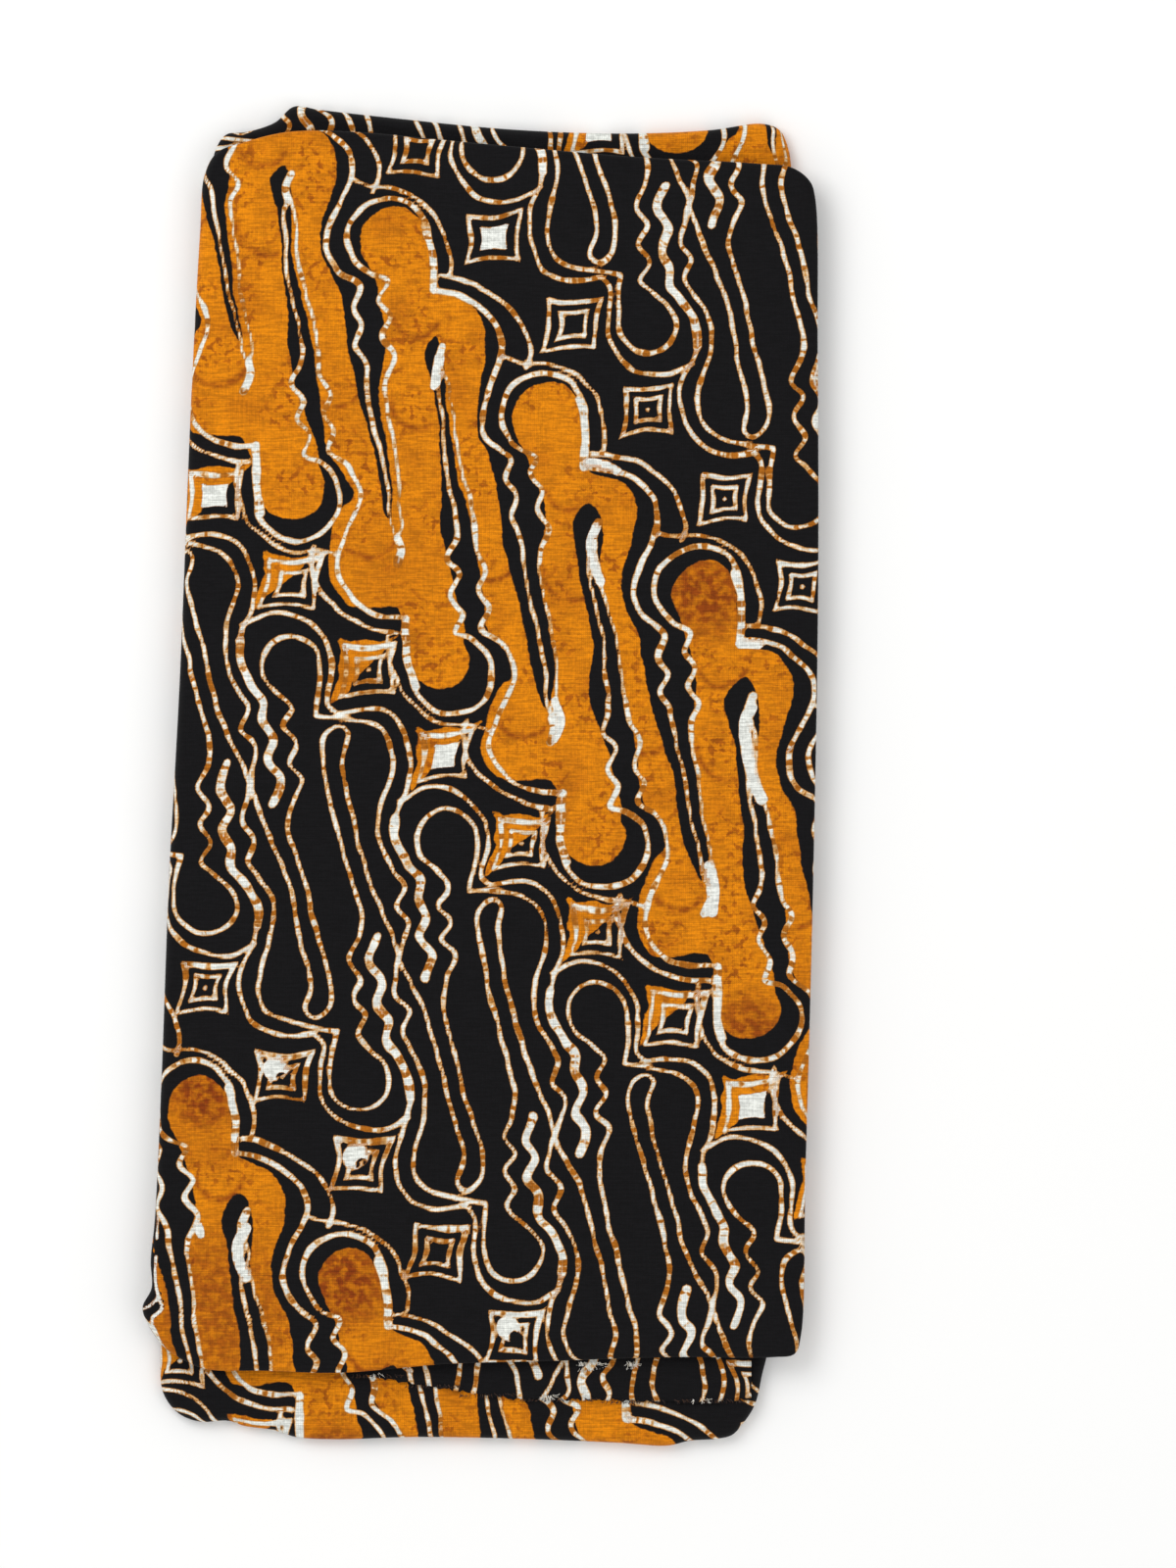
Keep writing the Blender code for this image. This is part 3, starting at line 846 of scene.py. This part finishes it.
class Nodes:
    """Makes a material and adds nodes to it with few words."""

    def __init__(self, name: str, roughness: float) -> None:
        """Starts from a plain Principled shader.

        Args:
            name: the material's name.
            roughness: the shader's roughness.
        """
        self.material = bpy.data.materials.new(name)
        self.material.use_nodes = True
        self.tree = self.material.node_tree
        self.shader = self.tree.nodes["Principled BSDF"]
        self.shader.inputs["Roughness"].default_value = roughness

    def add(self, kind: str, settings: dict | None = None, **inputs: object) -> bpy.types.Node:
        """Adds a node.

        Args:
            kind: the node's type.
            settings: its attributes.
            **inputs: its sockets by name or number, as a value or a socket to link from. An underscore in a
                name stands for a space, and a number is written as i0, i1 and so on.

        Returns:
            The node.
        """
        node = self.tree.nodes.new(kind)
        for key, value in (settings or {}).items():
            setattr(node, key, value)
        for key, value in inputs.items():
            numbered = key[0] == "i" and key[1:].isdigit()
            socket = node.inputs[int(key[1:]) if numbered else key.replace("_", " ")]
            if isinstance(value, Socket):
                self.tree.links.new(value, socket)
            else:
                socket.default_value = value
        return node

    def math(self, operation: str, a: Socket | float, b: Socket | float) -> Socket:
        """Adds a Math node and gives its output."""
        return self.add("ShaderNodeMath", {"operation": operation}, i0=a, i1=b).outputs[0]

    def times(self, a: Socket, b: Socket | float) -> Socket:
        """The product of two values."""
        return self.math("MULTIPLY", a, b)

    def larger(self, a: Socket, b: Socket) -> Socket:
        """The larger of two values."""
        return self.math("MAXIMUM", a, b)

    def ramp(self, value: Socket, low: float, high: float, start: float = 0.0, stop: float = 1.0) -> Socket:
        """Takes low to start and high to stop, clamped and eased."""
        values = {"i0": value, "i1": low, "i2": high, "i3": start, "i4": stop}
        return self.add("ShaderNodeMapRange", {"interpolation_type": "SMOOTHSTEP"}, **values).outputs[0]

    def mix(self, share: Socket | float, a: Value, b: Value, blend: str = "MIX") -> Socket:
        """Mixes two colours by the share of the second."""
        settings = {"data_type": "RGBA", "blend_type": blend}
        return self.add("ShaderNodeMix", settings, i0=share, i6=a, i7=b).outputs[2]

    def link(self, source: Socket, name: str) -> None:
        """Links a socket to one of the shader's inputs."""
        self.tree.links.new(source, self.shader.inputs[name])


def batik_material(finish: Finish) -> bpy.types.Material:
    """Batik cotton: matt black and mottled ochre, cream wax lines with brown cracks, and a plain weave whose
    ridges are also painted into the colour as shade.

    Args:
        finish: its colours and grain.

    Returns:
        The material.
    """
    nodes = Nodes(finish.name, finish.roughness)
    flat = nodes.add("ShaderNodeUVMap", {"uv_map": "cloth_mm"}).outputs[0]

    def attribute(name: str) -> Socket:
        """One of the pattern's values."""
        return nodes.add("ShaderNodeAttribute", {"attribute_name": name}).outputs["Fac"]

    def noise(scale: float, detail: float = 2.0, vector: Socket = flat) -> Socket:
        """A noise over the flat cloth, with a scale in highs to a millimetre."""
        return nodes.add("ShaderNodeTexNoise", Vector=vector, Scale=scale, Detail=detail).outputs[0]

    def around(value: Socket, width: float) -> Socket:
        """A noise moved to lie about 0 and widened."""
        return nodes.times(nodes.math("SUBTRACT", value, 0.5), width)

    # Wax lines waver by about a quarter of a millimetre and fray at their edges.
    wax = nodes.math("ADD", attribute("wax"), around(noise(0.16), 1.0))
    wax = nodes.math("ADD", wax, around(noise(1.4), 0.4))
    waxed = nodes.ramp(wax, 0.14, -0.2)

    # Ochre seeps a little past the black, more in some places than in others.
    dyed = nodes.ramp(nodes.math("ADD", attribute("dye"), around(noise(0.35, 3.0), 1.6)), 0.3, -0.3)

    # Ochre is mottled: broad clouds, small blots and the marked stains.
    clouds = nodes.ramp(noise(0.04, 3.0), 0.42, 0.75, 0.0, 0.38)
    patches = nodes.ramp(noise(0.05), 0.38, 0.62)
    blots = nodes.times(patches, nodes.ramp(noise(0.3, 6.0), 0.49, 0.6, 0.0, 0.7))
    stained = nodes.times(attribute("stain"), nodes.ramp(noise(0.25, 5.0), 0.35, 0.6, 0.4, 1.0))
    dark = nodes.larger(nodes.larger(clouds, blots), stained)
    ochre = nodes.mix(dark, linear(finish.ochre), linear(finish.ochre_dark))

    # Brown crosses the wax lines where hot wax cracked, at uneven steps along each line, and stains their
    # edges. Broad wax cracks less, and solid wax doesn't.
    steps = nodes.add("ShaderNodeCombineXYZ", X=attribute("run"), Y=nodes.times(wax, 0.4))
    crackle = noise(0.3, 1.5, steps.outputs[0])
    cracks = nodes.math("ADD", crackle, nodes.ramp(noise(0.04, 1.0), 0.3, 0.7, -0.1, 0.1))
    brittle = nodes.ramp(attribute("run"), -40.0, 20.0)
    thin = nodes.times(nodes.ramp(wax, -1.9, -1.2, 0.15, 1.0), brittle)
    honeyed = nodes.larger(nodes.ramp(cracks, 0.51, 0.57), nodes.ramp(wax, -0.68, -0.18))
    cracked = nodes.times(nodes.ramp(cracks, 0.55, 0.61), thin)
    browned = nodes.larger(cracked, nodes.ramp(wax, -0.36, 0.04))
    cream = nodes.mix(nodes.times(honeyed, thin), linear(finish.cream), linear(finish.honey))
    cream = nodes.mix(browned, cream, linear(finish.tick))
    colour = nodes.mix(waxed, nodes.mix(dyed, linear(finish.black), ochre), cream)

    # Plain weave: warp and weft ridges at the thread pitch, with slubs that thicken some threads. The ridges
    # make the bump and are also painted into the colour as shade between the threads; the slubs and a fine
    # noise are the threads' own uneven tone. A wave texture has 3.18 ridges to a unit of its scale.
    ridges = []
    for way in ("X", "Y"):
        settings = {"wave_type": "BANDS", "bands_direction": way}
        inputs = {"Scale": 1.0 / finish.weave_pitch_mm / 3.18, "Distortion": 0.4, "Detail": 1.0}
        ridges.append(nodes.add("ShaderNodeTexWave", settings, Vector=flat, **inputs).outputs["Fac"])
    weave = nodes.times(ridges[0], ridges[1])
    slubs = []
    for stretch, share in (((0.12, 1.0, 1.0), 0.7), ((1.0, 0.14, 1.0), 0.3)):
        drawn = nodes.add("ShaderNodeMapping", Vector=flat, Scale=stretch).outputs[0]
        slubs.append(nodes.times(nodes.ramp(noise(1.0, 2.0, drawn), 0.25, 0.75), share))
    slubbed = nodes.ramp(nodes.math("ADD", *slubs), 0.15, 0.85, 0.76, 1.14)
    # Painted shade: the weave ridges darken the colour between the threads, times the slubs' own thread
    # tone.
    weave_shade_and_thread_tone = nodes.times(nodes.ramp(weave, 0.0, 1.0, 0.84, 1.1), slubbed)
    weave_shade_and_thread_tone = nodes.times(weave_shade_and_thread_tone, nodes.ramp(noise(0.9, 4.0), 0.35, 0.65, 0.88, 1.06))
    bump = nodes.add("ShaderNodeBump", Strength=0.35, Distance=0.0002, Height=weave)

    # The base colour carries the painted shade of the weave.
    nodes.link(nodes.mix(1.0, colour, weave_shade_and_thread_tone, "MULTIPLY"), "Base Color")
    nodes.link(bump.outputs[0], "Normal")
    nodes.shader.inputs["Sheen Weight"].default_value = finish.sheen
    nodes.shader.inputs["Sheen Roughness"].default_value = 0.5
    nodes.shader.inputs["Specular IOR Level"].default_value = 0.15
    return nodes.material


def grid_mesh(name: str, columns: int, rows: int, size: float = 1.0) -> bpy.types.Mesh:
    """A flat square grid.

    Args:
        name: the mesh's name.
        columns: cells across.
        rows: cells along.
        size: half its width.

    Returns:
        The mesh.
    """
    built = bmesh.new()
    bmesh.ops.create_grid(built, x_segments=columns, y_segments=rows, size=size)
    mesh = bpy.data.meshes.new(name)
    built.to_mesh(mesh)
    built.free()
    return mesh


def add_object(name: str, data: bpy.types.ID, location: tuple = (0.0, 0.0, 0.0)) -> Object:
    """Puts data in the scene.

    Args:
        name: the object's name.
        data: its mesh, curve, light or camera.
        location: where it is.

    Returns:
        The object.
    """
    made = bpy.data.objects.new(name, data)
    made.location = location
    bpy.context.scene.collection.objects.link(made)
    return made


@dataclass
class Cloth:
    """A shown stretch of the cloth, made from a dense grid.

    Its move, and whether it is turned over, say where its pattern lies on the flat cloth.
    """

    name: str
    slot: str
    replaces: tuple[str, ...]
    pattern: Pattern
    material: bpy.types.Material
    shift: Array
    move: Place = (0.0, 0.0)
    turned_over: bool = False

    def grid(self, columns: int, rows: int) -> tuple[bpy.types.Mesh, Array, Array]:
        """A flat grid mesh to bend into place.

        Args:
            columns: cells across.
            rows: cells along.

        Returns:
            The mesh, and the column and the row of each of its points.
        """
        mesh = grid_mesh(self.name, columns, rows)
        flat = np.empty(len(mesh.vertices) * 3)
        mesh.vertices.foreach_get("co", flat)
        flat = flat.reshape(-1, 3)
        i = np.rint((flat[:, 0] + 1.0) / 2.0 * columns).astype(int)
        j = np.rint((flat[:, 1] + 1.0) / 2.0 * rows).astype(int)
        return mesh, i, j

    def dress(self, mesh: bpy.types.Mesh, places: Array, flat: Array) -> Object:
        """Bends a grid into place and gives it its pattern and material.

        Args:
            mesh: the grid.
            places: X, Y and Z of each point.
            flat: where each point lies on the flat cloth.

        Returns:
            The piece.
        """
        placed = places.copy()
        placed[:, :2] -= self.shift
        mesh.vertices.foreach_set("co", (placed * MM).ravel())
        across = -flat[:, 0] if self.turned_over else flat[:, 0]
        values = self.pattern.read(across + self.move[0], flat[:, 1] + self.move[1])
        for name, value in values.items():
            layer = mesh.attributes.new(name, "FLOAT", "POINT")
            layer.data.foreach_set("value", value.astype(np.float32))
        loops = np.empty(len(mesh.loops), dtype=np.int32)
        mesh.loops.foreach_get("vertex_index", loops)
        mesh.uv_layers.new(name="cloth_mm").uv.foreach_set("vector", flat[loops].astype(np.float32).ravel())
        mesh.shade_smooth()
        mesh.materials.append(self.material)
        mesh.update()
        piece = add_object(self.name, mesh)
        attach(piece, BODY)
        if self.replaces:
            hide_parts(*self.replaces)
        return piece


def crease_height(x: Array, y: Array) -> Array:
    """How far the creases lift the upper cloth.

    Args:
        x: places across.
        y: places along.

    Returns:
        The lift at each place.
    """
    height = np.zeros(x.shape)
    for crease in CREASES:
        turn = math.radians(crease.heading)
        dx, dy = x - crease.x, y - crease.y
        run = (dx * math.cos(turn) + dy * math.sin(turn)) / (crease.length / 2)
        off = (dy * math.cos(turn) - dx * math.sin(turn)) / (crease.width / 2)
        height += crease.height * np.exp(-run * run - off * off)
    return height


@dataclass
class UpperCloth(Cloth):
    """The stretch that shows from above, turned down all round over the upper packet."""

    columns: int = 222
    rows: int = 412

    def sides(self) -> list[Curve]:
        """The four sides of the upper outline, anticlockwise from the near one.

        Returns:
            The sides as curves.
        """
        curve = smooth_curve(UPPER_OUTLINE, closed=True)
        marks = [int(np.argmin(np.hypot(*(curve - corner).T))) for corner in UPPER_CORNERS]
        sides = []
        for start, end in zip(marks, marks[1:] + marks[:1]):
            span = (end - start) % len(curve)
            sides.append(Curve(curve[(start + np.arange(span + 1)) % len(curve)]))
        return sides

    @staticmethod
    def fold_line(side: Curve, share: Array) -> tuple[Array, Array, Array, Array]:
        """Where a side begins to turn down.

        Args:
            side: the side.
            share: shares of its length.

        Returns:
            The places, the outward normals, and the fold's radius and turn at each.
        """
        normal = side.outward(share)
        open_share = eased(ROLL_BEGINS, ROLL_IS_FULL, -normal[..., 0])
        radius = TIGHT_FOLD[0] + (LEFT_ROLL[0] - TIGHT_FOLD[0]) * open_share
        turn = np.radians(TIGHT_FOLD[1] + (LEFT_ROLL[1] - TIGHT_FOLD[1]) * open_share)
        return side.at(share) - normal * radius[..., None], normal, radius, turn

    def build(self) -> Object:
        """Makes the piece.

        Returns:
            The piece.
        """
        mesh, i, j = self.grid(self.columns, self.rows)
        ring = np.minimum.reduce((i, self.columns - i, j, self.rows - j))
        level = np.minimum(ring, FOLD_RINGS)
        wide, deep = self.columns - 2 * level, self.rows - 2 * level
        u, v = (i - level) / wide, (j - level) / deep
        sides = self.sides()

        shares = (u, v, 1 - u, 1 - v)
        near, right, far, left = (self.fold_line(*pair)[0] for pair in zip(sides, shares))
        low_left, low_right = self.fold_line(sides[0], np.array([0.0, 1.0]))[0]
        high_right, high_left = self.fold_line(sides[2], np.array([0.0, 1.0]))[0]
        u1, v1 = u[:, None], v[:, None]
        corners = (low_left * (1 - u1) + low_right * u1) * (1 - v1)
        corners = corners + (high_left * (1 - u1) + high_right * u1) * v1
        base = near * (1 - v1) + far * v1 + left * (1 - u1) + right * u1 - corners

        # Which side a ring's point is on, and how far round the fold it lies.
        side = np.full(i.shape, -1)
        for number, across in ((3, i), (1, self.columns - i), (0, j), (2, self.rows - j)):
            side[(ring < FOLD_RINGS) & (across == ring)] = number
        places = np.zeros((len(i), 3))
        flat = base.copy()
        places[:, :2] = base
        edge = np.minimum(np.minimum(u, 1 - u) * INNER_WIDTH, np.minimum(v, 1 - v) * INNER_LENGTH)
        dip = EDGE_DIP * (1.0 - eased(0.0, EDGE_DIP_WIDTH, edge))
        x, y = base.T
        drift = 0.22 * wander(x, y, 120.0, 1.7) * eased(0.0, 20.0, edge)
        drift += 0.1 * wander(x, 0.6 * y, 26.0, 0.9)
        drift += 0.05 * wander(x, y, 10.0, 4.4)
        places[:, 2] = UPPER_LEVEL - dip + crease_height(x, y) * eased(-3.0, 3.0, edge) + drift
        for number, share in enumerate(shares):
            on = side == number
            start, normal, radius, turn = self.fold_line(sides[number], share[on])
            angle = turn * (FOLD_RINGS - ring[on]) / FOLD_RINGS
            places[on, :2] = start + normal * (radius * np.sin(angle))[:, None]
            places[on, 2] = UPPER_LEVEL - EDGE_DIP + crease_height(*start.T) * 0.5
            places[on, 2] -= radius * (1 - np.cos(angle))
            flat[on] = start + normal * (radius * angle)[:, None]
        return self.dress(mesh, places, flat)


@dataclass
class EndFold(Cloth):
    """The stretch that wraps one end of the lower packet."""

    mouth_y: float = 0.0
    columns: int = 270
    run_rows: int = 30
    roll_rows: int = 14

    def chain(self) -> Curve:
        """The outline's stretch past the mouth, anticlockwise.

        Returns:
            The stretch as a curve with both its ends on the mouth.
        """
        curve = smooth_curve(LOWER_OUTLINE, closed=True)
        toward = math.copysign(1.0, self.mouth_y)
        past = toward * (curve[:, 1] - self.mouth_y) > 0
        first = int(np.flatnonzero(past & ~np.roll(past, 1))[0])
        count = int(np.count_nonzero(past))
        return Curve(curve[(first + np.arange(count)) % len(curve)])

    def build(self) -> Object:
        """Makes the piece.

        Returns:
            The piece.
        """
        rows = 2 * self.run_rows + self.roll_rows
        mesh, i, j = self.grid(self.columns, rows)
        curve = self.chain()
        share = i / self.columns
        radius = LOWER_TOP / 2
        ends = curve.at(np.array([0.0, 1.0]))
        side = np.sign(ends[:, 0])
        mouth_x = ends[:, 0] - SLEEVE_MOUTH_INSET * side
        mouth_x = mouth_x[0] + (mouth_x[1] - mouth_x[0]) * share
        mouth = np.stack((mouth_x, np.full(share.shape, self.mouth_y)), axis=-1)
        normal = curve.outward(share)
        square = eased(0.0, 0.03, np.minimum(share, 1 - share))[:, None]
        flat_way = np.stack((np.where(share < 0.5, side[0], side[1]), np.zeros(share.shape)), axis=-1)
        normal = flat_way * (1 - square) + normal * square
        normal /= np.linalg.norm(normal, axis=-1, keepdims=True)
        base = curve.at(share) - normal * radius
        reach = np.linalg.norm(base - mouth, axis=-1)
        turn = np.clip((j - self.run_rows) / self.roll_rows, 0.0, 1.0) * math.pi
        above = np.clip(j / self.run_rows, 0.0, 1.0)
        below = np.clip((rows - j) / self.run_rows, 0.0, 1.0)
        back = np.where(j <= self.run_rows, above, below)[:, None]
        places = np.zeros((len(i), 3))
        places[:, :2] = mouth + (base - mouth) * back + normal * (radius * np.sin(turn))[:, None]
        places[:, 2] = radius * (1 + np.cos(turn))
        x, y = places[:, :2].T
        dent = 0.35 * wander(x, y, 46.0, 3.1) + 0.2 * wander(x, y, 17.0, 0.7) - 0.3
        places[:, 2] += dent * np.sin(turn / 2 + math.pi / 2) * (j < self.run_rows + self.roll_rows / 2)
        flat = mouth + (base - mouth) * np.where(j <= self.run_rows, above, 1.0)[:, None]
        flat += normal * (radius * turn + (1 - below) * reach)[:, None]
        return self.dress(mesh, places, flat)


@dataclass
class RawEnd(Cloth):
    """The cut end of the cloth, on the bottom fold."""

    columns: int = 150
    rows: int = 24

    def build(self) -> Object:
        """Makes the piece.

        Returns:
            The piece.
        """
        mesh, i, j = self.grid(self.columns, self.rows)
        x = RAW_END_X[0] + (RAW_END_X[-1] - RAW_END_X[0]) * i / self.columns
        inner, outer = (np.interp(x, RAW_END_X, ys) for ys in (RAW_END_INNER, RAW_END_OUTER))
        share = j / self.rows
        ragged = 0.35 * np.sin(x * 2.1) + 0.3 * np.sin(x * 0.77 + 1.0) + 0.25 * np.sin(x * 4.3)
        y = inner + (outer - inner + ragged * eased(0.6, 1.0, share)) * share
        lift = 0.35 + 0.3 * wander(x, y, 34.0, 2.2) - 0.5 * eased(0.7, 1.0, share)
        places = np.stack((x, y, LOWER_TOP + GAP + RAW_END_LIFT + lift), axis=-1)
        piece = self.dress(mesh, places, np.stack((x, y), axis=-1))
        wall = piece.modifiers.new("cloth_wall", "SOLIDIFY")
        wall.thickness = RAW_END_WALL * MM
        wall.offset = -1.0
        return piece


class Tuft(NamedTuple):
    """Loose threads at one stretch of the raw edge."""

    x: float
    y: float
    width: float
    threads: int
    length: float
    heading: float
    spread: float


WHITE_TUFTS = (
    Tuft(47.5, -259.2, 9.5, 56, 4.2, -85, 50),
    Tuft(66, -259, 4.5, 20, 3.6, -75, 45),
    Tuft(29, -273.6, 5, 16, 3, -80, 60),
    Tuft(-46, -264, 5, 7, 2.6, -90, 50),
    Tuft(96, -275.4, 9, 9, 2.4, -85, 60),
)
DARK_TUFTS = (
    Tuft(-46, -264.6, 22, 34, 1.8, -80, 40),
    Tuft(-22, -269, 24, 36, 1.7, -95, 40),
    Tuft(2, -273, 24, 30, 2, -85, 40),
    Tuft(34, -275.2, 34, 44, 1.6, -95, 40),
    Tuft(72, -275.8, 38, 52, 2, -90, 45),
    Tuft(106, -275.6, 24, 32, 1.8, -85, 40),
)


@dataclass
class Threads:
    """Loose threads of the raw edge, as thin tubes in one curve object."""

    name: str
    slot: str
    colour: str
    faded: str
    tufts: tuple[Tuft, ...]
    shift: Array
    radius: float = 0.12

    def build(self) -> Object:
        """Makes the piece.

        Returns:
            The piece.
        """
        data = bpy.data.curves.new(self.name, "CURVE")
        data.dimensions = "3D"
        data.bevel_depth = self.radius * MM
        data.bevel_resolution = 1
        level = LOWER_TOP + GAP + 1.5
        for number, tuft in enumerate(self.tufts):
            for thread in range(tuft.threads):
                luck = math.sin(12.7 * thread + 5.1 * number) * 43.0 % 1.0
                other = math.sin(7.3 * thread + 2.9 * number) * 71.0 % 1.0
                turn = math.radians(tuft.heading + tuft.spread * (luck - 0.5) * 2)
                curl = (other - 0.5) * 1.6
                length = tuft.length * (0.5 + 0.6 * luck)
                spline = data.splines.new("POLY")
                spline.points.add(THREAD_STEPS)
                for at, point in enumerate(spline.points):
                    run = length * at / THREAD_STEPS
                    bend = turn + curl * at / THREAD_STEPS
                    x = tuft.x + (other - 0.5) * tuft.width + run * math.cos(bend) - self.shift[0]
                    y = tuft.y + (luck - 0.5) * 1.2 + run * math.sin(bend) - self.shift[1]
                    z = level - 0.5 + 0.5 * luck + 0.6 * math.sin(at * 0.9 + luck * 3) * at / THREAD_STEPS
                    point.co = (x * MM, y * MM, z * MM, 1.0)

        # Matt cotton thread, paler and darker by turns along it.
        nodes = Nodes(self.name, 0.9)
        place = nodes.add("ShaderNodeTexCoord").outputs["Object"]
        tone = nodes.add("ShaderNodeTexNoise", Vector=place, Scale=900.0).outputs[0]
        tone = nodes.mix(nodes.ramp(tone, 0.35, 0.65), linear(self.colour), linear(self.faded))
        nodes.link(tone, "Base Color")
        data.materials.append(nodes.material)
        piece = add_object(self.name, data)
        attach(piece, BODY)
        return piece


@dataclass
class LayerEdges(Cloth):
    """Folded edges of the hidden layers, one rounded nose for each."""

    layers: tuple[Layer, ...] = UPPER_LAYERS
    outline: tuple[Place, ...] = UPPER_OUTLINE
    span: tuple[float, float] | None = None
    on_right: bool = True
    rows_per_layer: int = 9

    def curve(self) -> Curve:
        """The stretch of outline that the layers follow.

        Returns:
            The whole outline, or one side of it between the end folds.
        """
        points = smooth_curve(self.outline, closed=True)
        if self.span is None:
            return Curve(points, closed=True)
        low, high = self.span
        inside = (points[:, 1] > low) & (points[:, 1] < high) & ((points[:, 0] > 0) == self.on_right)
        kept = points[inside]
        order = np.argsort(kept[:, 1] if self.on_right else -kept[:, 1])
        kept = kept[order]
        first, last = (low, high) if self.on_right else (high, low)
        return Curve(np.vstack(((kept[0, 0], first), kept, (kept[-1, 0], last))))

    def build(self) -> Object:
        """Makes the piece.

        Returns:
            The piece.
        """
        curve = self.curve()
        columns = int(curve.length / POINT_SPACING)
        rows = self.rows_per_layer * len(self.layers)
        mesh, i, j = self.grid(columns, rows)
        share = i / columns
        point = curve.at(share)
        normal = curve.outward(share)
        number = np.minimum(j // self.rows_per_layer, len(self.layers) - 1)
        turn = (j - number * self.rows_per_layer) / self.rows_per_layer * math.pi - math.pi / 2
        places = np.zeros((len(i), 3))
        flat = np.zeros((len(i), 2))
        for at, layer in enumerate(self.layers):
            on = number == at
            half = (layer.top - layer.bottom) / 2
            way = normal[on]
            side = np.where(way[:, 0] < 0, layer.left, layer.right)
            inset = side + (layer.end - side) * eased(0.3, 0.9, np.abs(way[:, 1]))
            inset = inset + layer.wander * (1 + wander(*point[on].T, 90.0, 2.0 * at + half))
            back = inset + NOSE_DEPTH * half * (1 - np.cos(turn[on]))
            places[on, :2] = point[on] - way * back[:, None]
            places[on, 2] = layer.bottom + half * (1 + np.sin(turn[on]))
            flat[on] = point[on] + way * (half * turn[on])[:, None] + np.array((0.0, LAYER_STEP)) * at
        return self.dress(mesh, places, flat)


@dataclass
class Underside(Cloth):
    """The stretch that the bundle rests on."""

    columns: int = 205
    rows: int = 370

    def build(self) -> Object:
        """Makes the piece.

        Returns:
            The piece.
        """
        mesh, i, j = self.grid(self.columns, self.rows)
        outline = smooth_curve(LOWER_OUTLINE, closed=True)
        y = BOTTOM_SLEEVE_Y + (TOP_SLEEVE_Y - BOTTOM_SLEEVE_Y) * j / self.rows
        order = np.argsort(outline[:, 1])
        left, right = (outline[order][(outline[order, 0] > 0) == on_right] for on_right in (False, True))
        start = np.interp(y, left[:, 1], left[:, 0]) + UNDERSIDE_INSET
        stop = np.interp(y, right[:, 1], right[:, 0]) - UNDERSIDE_INSET
        x = start + (stop - start) * i / self.columns
        piece = self.dress(mesh, np.stack((x, y, np.zeros(len(x))), axis=-1), np.stack((x, y), axis=-1))
        piece.data.flip_normals()
        return piece


def floor_and_light() -> None:
    """Adds a pale floor, soft lights and a plain bright world."""
    floor = add_object("floor", grid_mesh("floor", 1, 1, 3.0), (0.0, 0.0, -0.4 * MM))

    # Matt white paper, a little off white.
    paper = Nodes("pale_floor", 0.9)
    paper.shader.inputs["Base Color"].default_value = linear("#F6F6F5")
    floor.data.materials.append(paper.material)
    floor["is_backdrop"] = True

    world = bpy.data.worlds.new("soft_room")
    world.use_nodes = True
    sky = world.node_tree.nodes["Background"].inputs
    sky["Color"].default_value = (1.0, 1.0, 1.0, 1.0)
    sky["Strength"].default_value = 0.75
    bpy.context.scene.world = world
    for name, place, power, size in (
        ("key_light", (-0.9, 0.8, 1.6), 16.0, 1.2),
        ("fill_light", (1.2, -0.9, 1.7), 7.0, 1.6),
    ):
        data = bpy.data.lights.new(name, "AREA")
        data.energy = power
        data.size = size
        light = add_object(name, data, place)
        light.rotation_euler = (-Vector(place)).to_track_quat("-Z", "Y").to_euler()


def camera(shift: Array) -> None:
    """Adds the camera straight above the middle of the photograph's frame.

    Args:
        shift: from the tables' origin to the frame's, in millimetres.
    """
    centre = (np.array(PHOTO_MIDDLE) - shift) * MM
    data = bpy.data.cameras.new("camera")
    data.sensor_fit = "AUTO"
    data.sensor_width = SENSOR
    data.lens = SENSOR * (CAMERA_HEIGHT - UPPER_LEVEL * MM) / FRAME_HEIGHT
    bpy.context.scene.camera = add_object("camera", data, (*centre, CAMERA_HEIGHT))
    bpy.context.scene.view_settings.view_transform = "Standard"


def outlines_centre() -> Array:
    """The centre of the bundle's outline in millimetres, which the frame has at its origin."""
    points = np.vstack([smooth_curve(rows, closed=True) for rows in (UPPER_OUTLINE, LOWER_OUTLINE)])
    return (points.min(axis=0) + points.max(axis=0)) / 2


def main() -> None:
    """Builds the visual model on the frame."""
    logging.basicConfig(level=logging.INFO)
    shift = outlines_centre()
    common = {"pattern": Pattern(), "material": batik_material(Finish()), "shift": shift}
    upper = UpperCloth("sarong_upper_cloth", "batik_ochre", ("upper_cloth",), **common).build()
    bottom = EndFold(
        "sarong_bottom_fold", "batik_ochre", ("bottom_fold",), **common, move=(184.4, 189.4),
        mouth_y=BOTTOM_SLEEVE_Y,
    ).build()
    top = EndFold(
        "sarong_top_fold", "batik_black", ("top_fold",), **common, move=(-169.5, -161.7),
        mouth_y=TOP_SLEEVE_Y,
    ).build()
    raw = RawEnd(
        "sarong_raw_end", "batik_black", ("raw_end",), **common, move=(0.0, 175.5), turned_over=True
    ).build()
    threads, fringe = (
        Threads(name, "batik_black", colour, faded, tufts, shift).build()
        for name, colour, faded, tufts in (
            ("sarong_white_threads", "#F2EFE8", "#C9C0AF", WHITE_TUFTS),
            ("sarong_dark_fringe", "#17151A", "#4A2F1C", DARK_TUFTS),
        )
    )
    layers = LayerEdges("sarong_upper_layers", "batik_black", ("folded_layers",), **common).build()
    for name, on_right in (("sarong_left_layers", False), ("sarong_right_layers", True)):
        edge = LayerEdges(
            name, "batik_black", (), **common, layers=LOWER_LAYERS, outline=LOWER_OUTLINE,
            span=(BOTTOM_SLEEVE_Y, TOP_SLEEVE_Y), on_right=on_right,
        ).build()
    under = Underside("sarong_underside", "batik_black", (), **common, move=(230.0, -310.0)).build()
    floor_and_light()
    camera(shift)
    visual_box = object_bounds()
    for low_high, cad, visual in zip(("low", "high"), CAD_BOX, visual_box):
        LOG.info("%s corner: solids %s, visual %s", low_high, list(cad), list(visual))


if __name__ == "__main__":
    main()
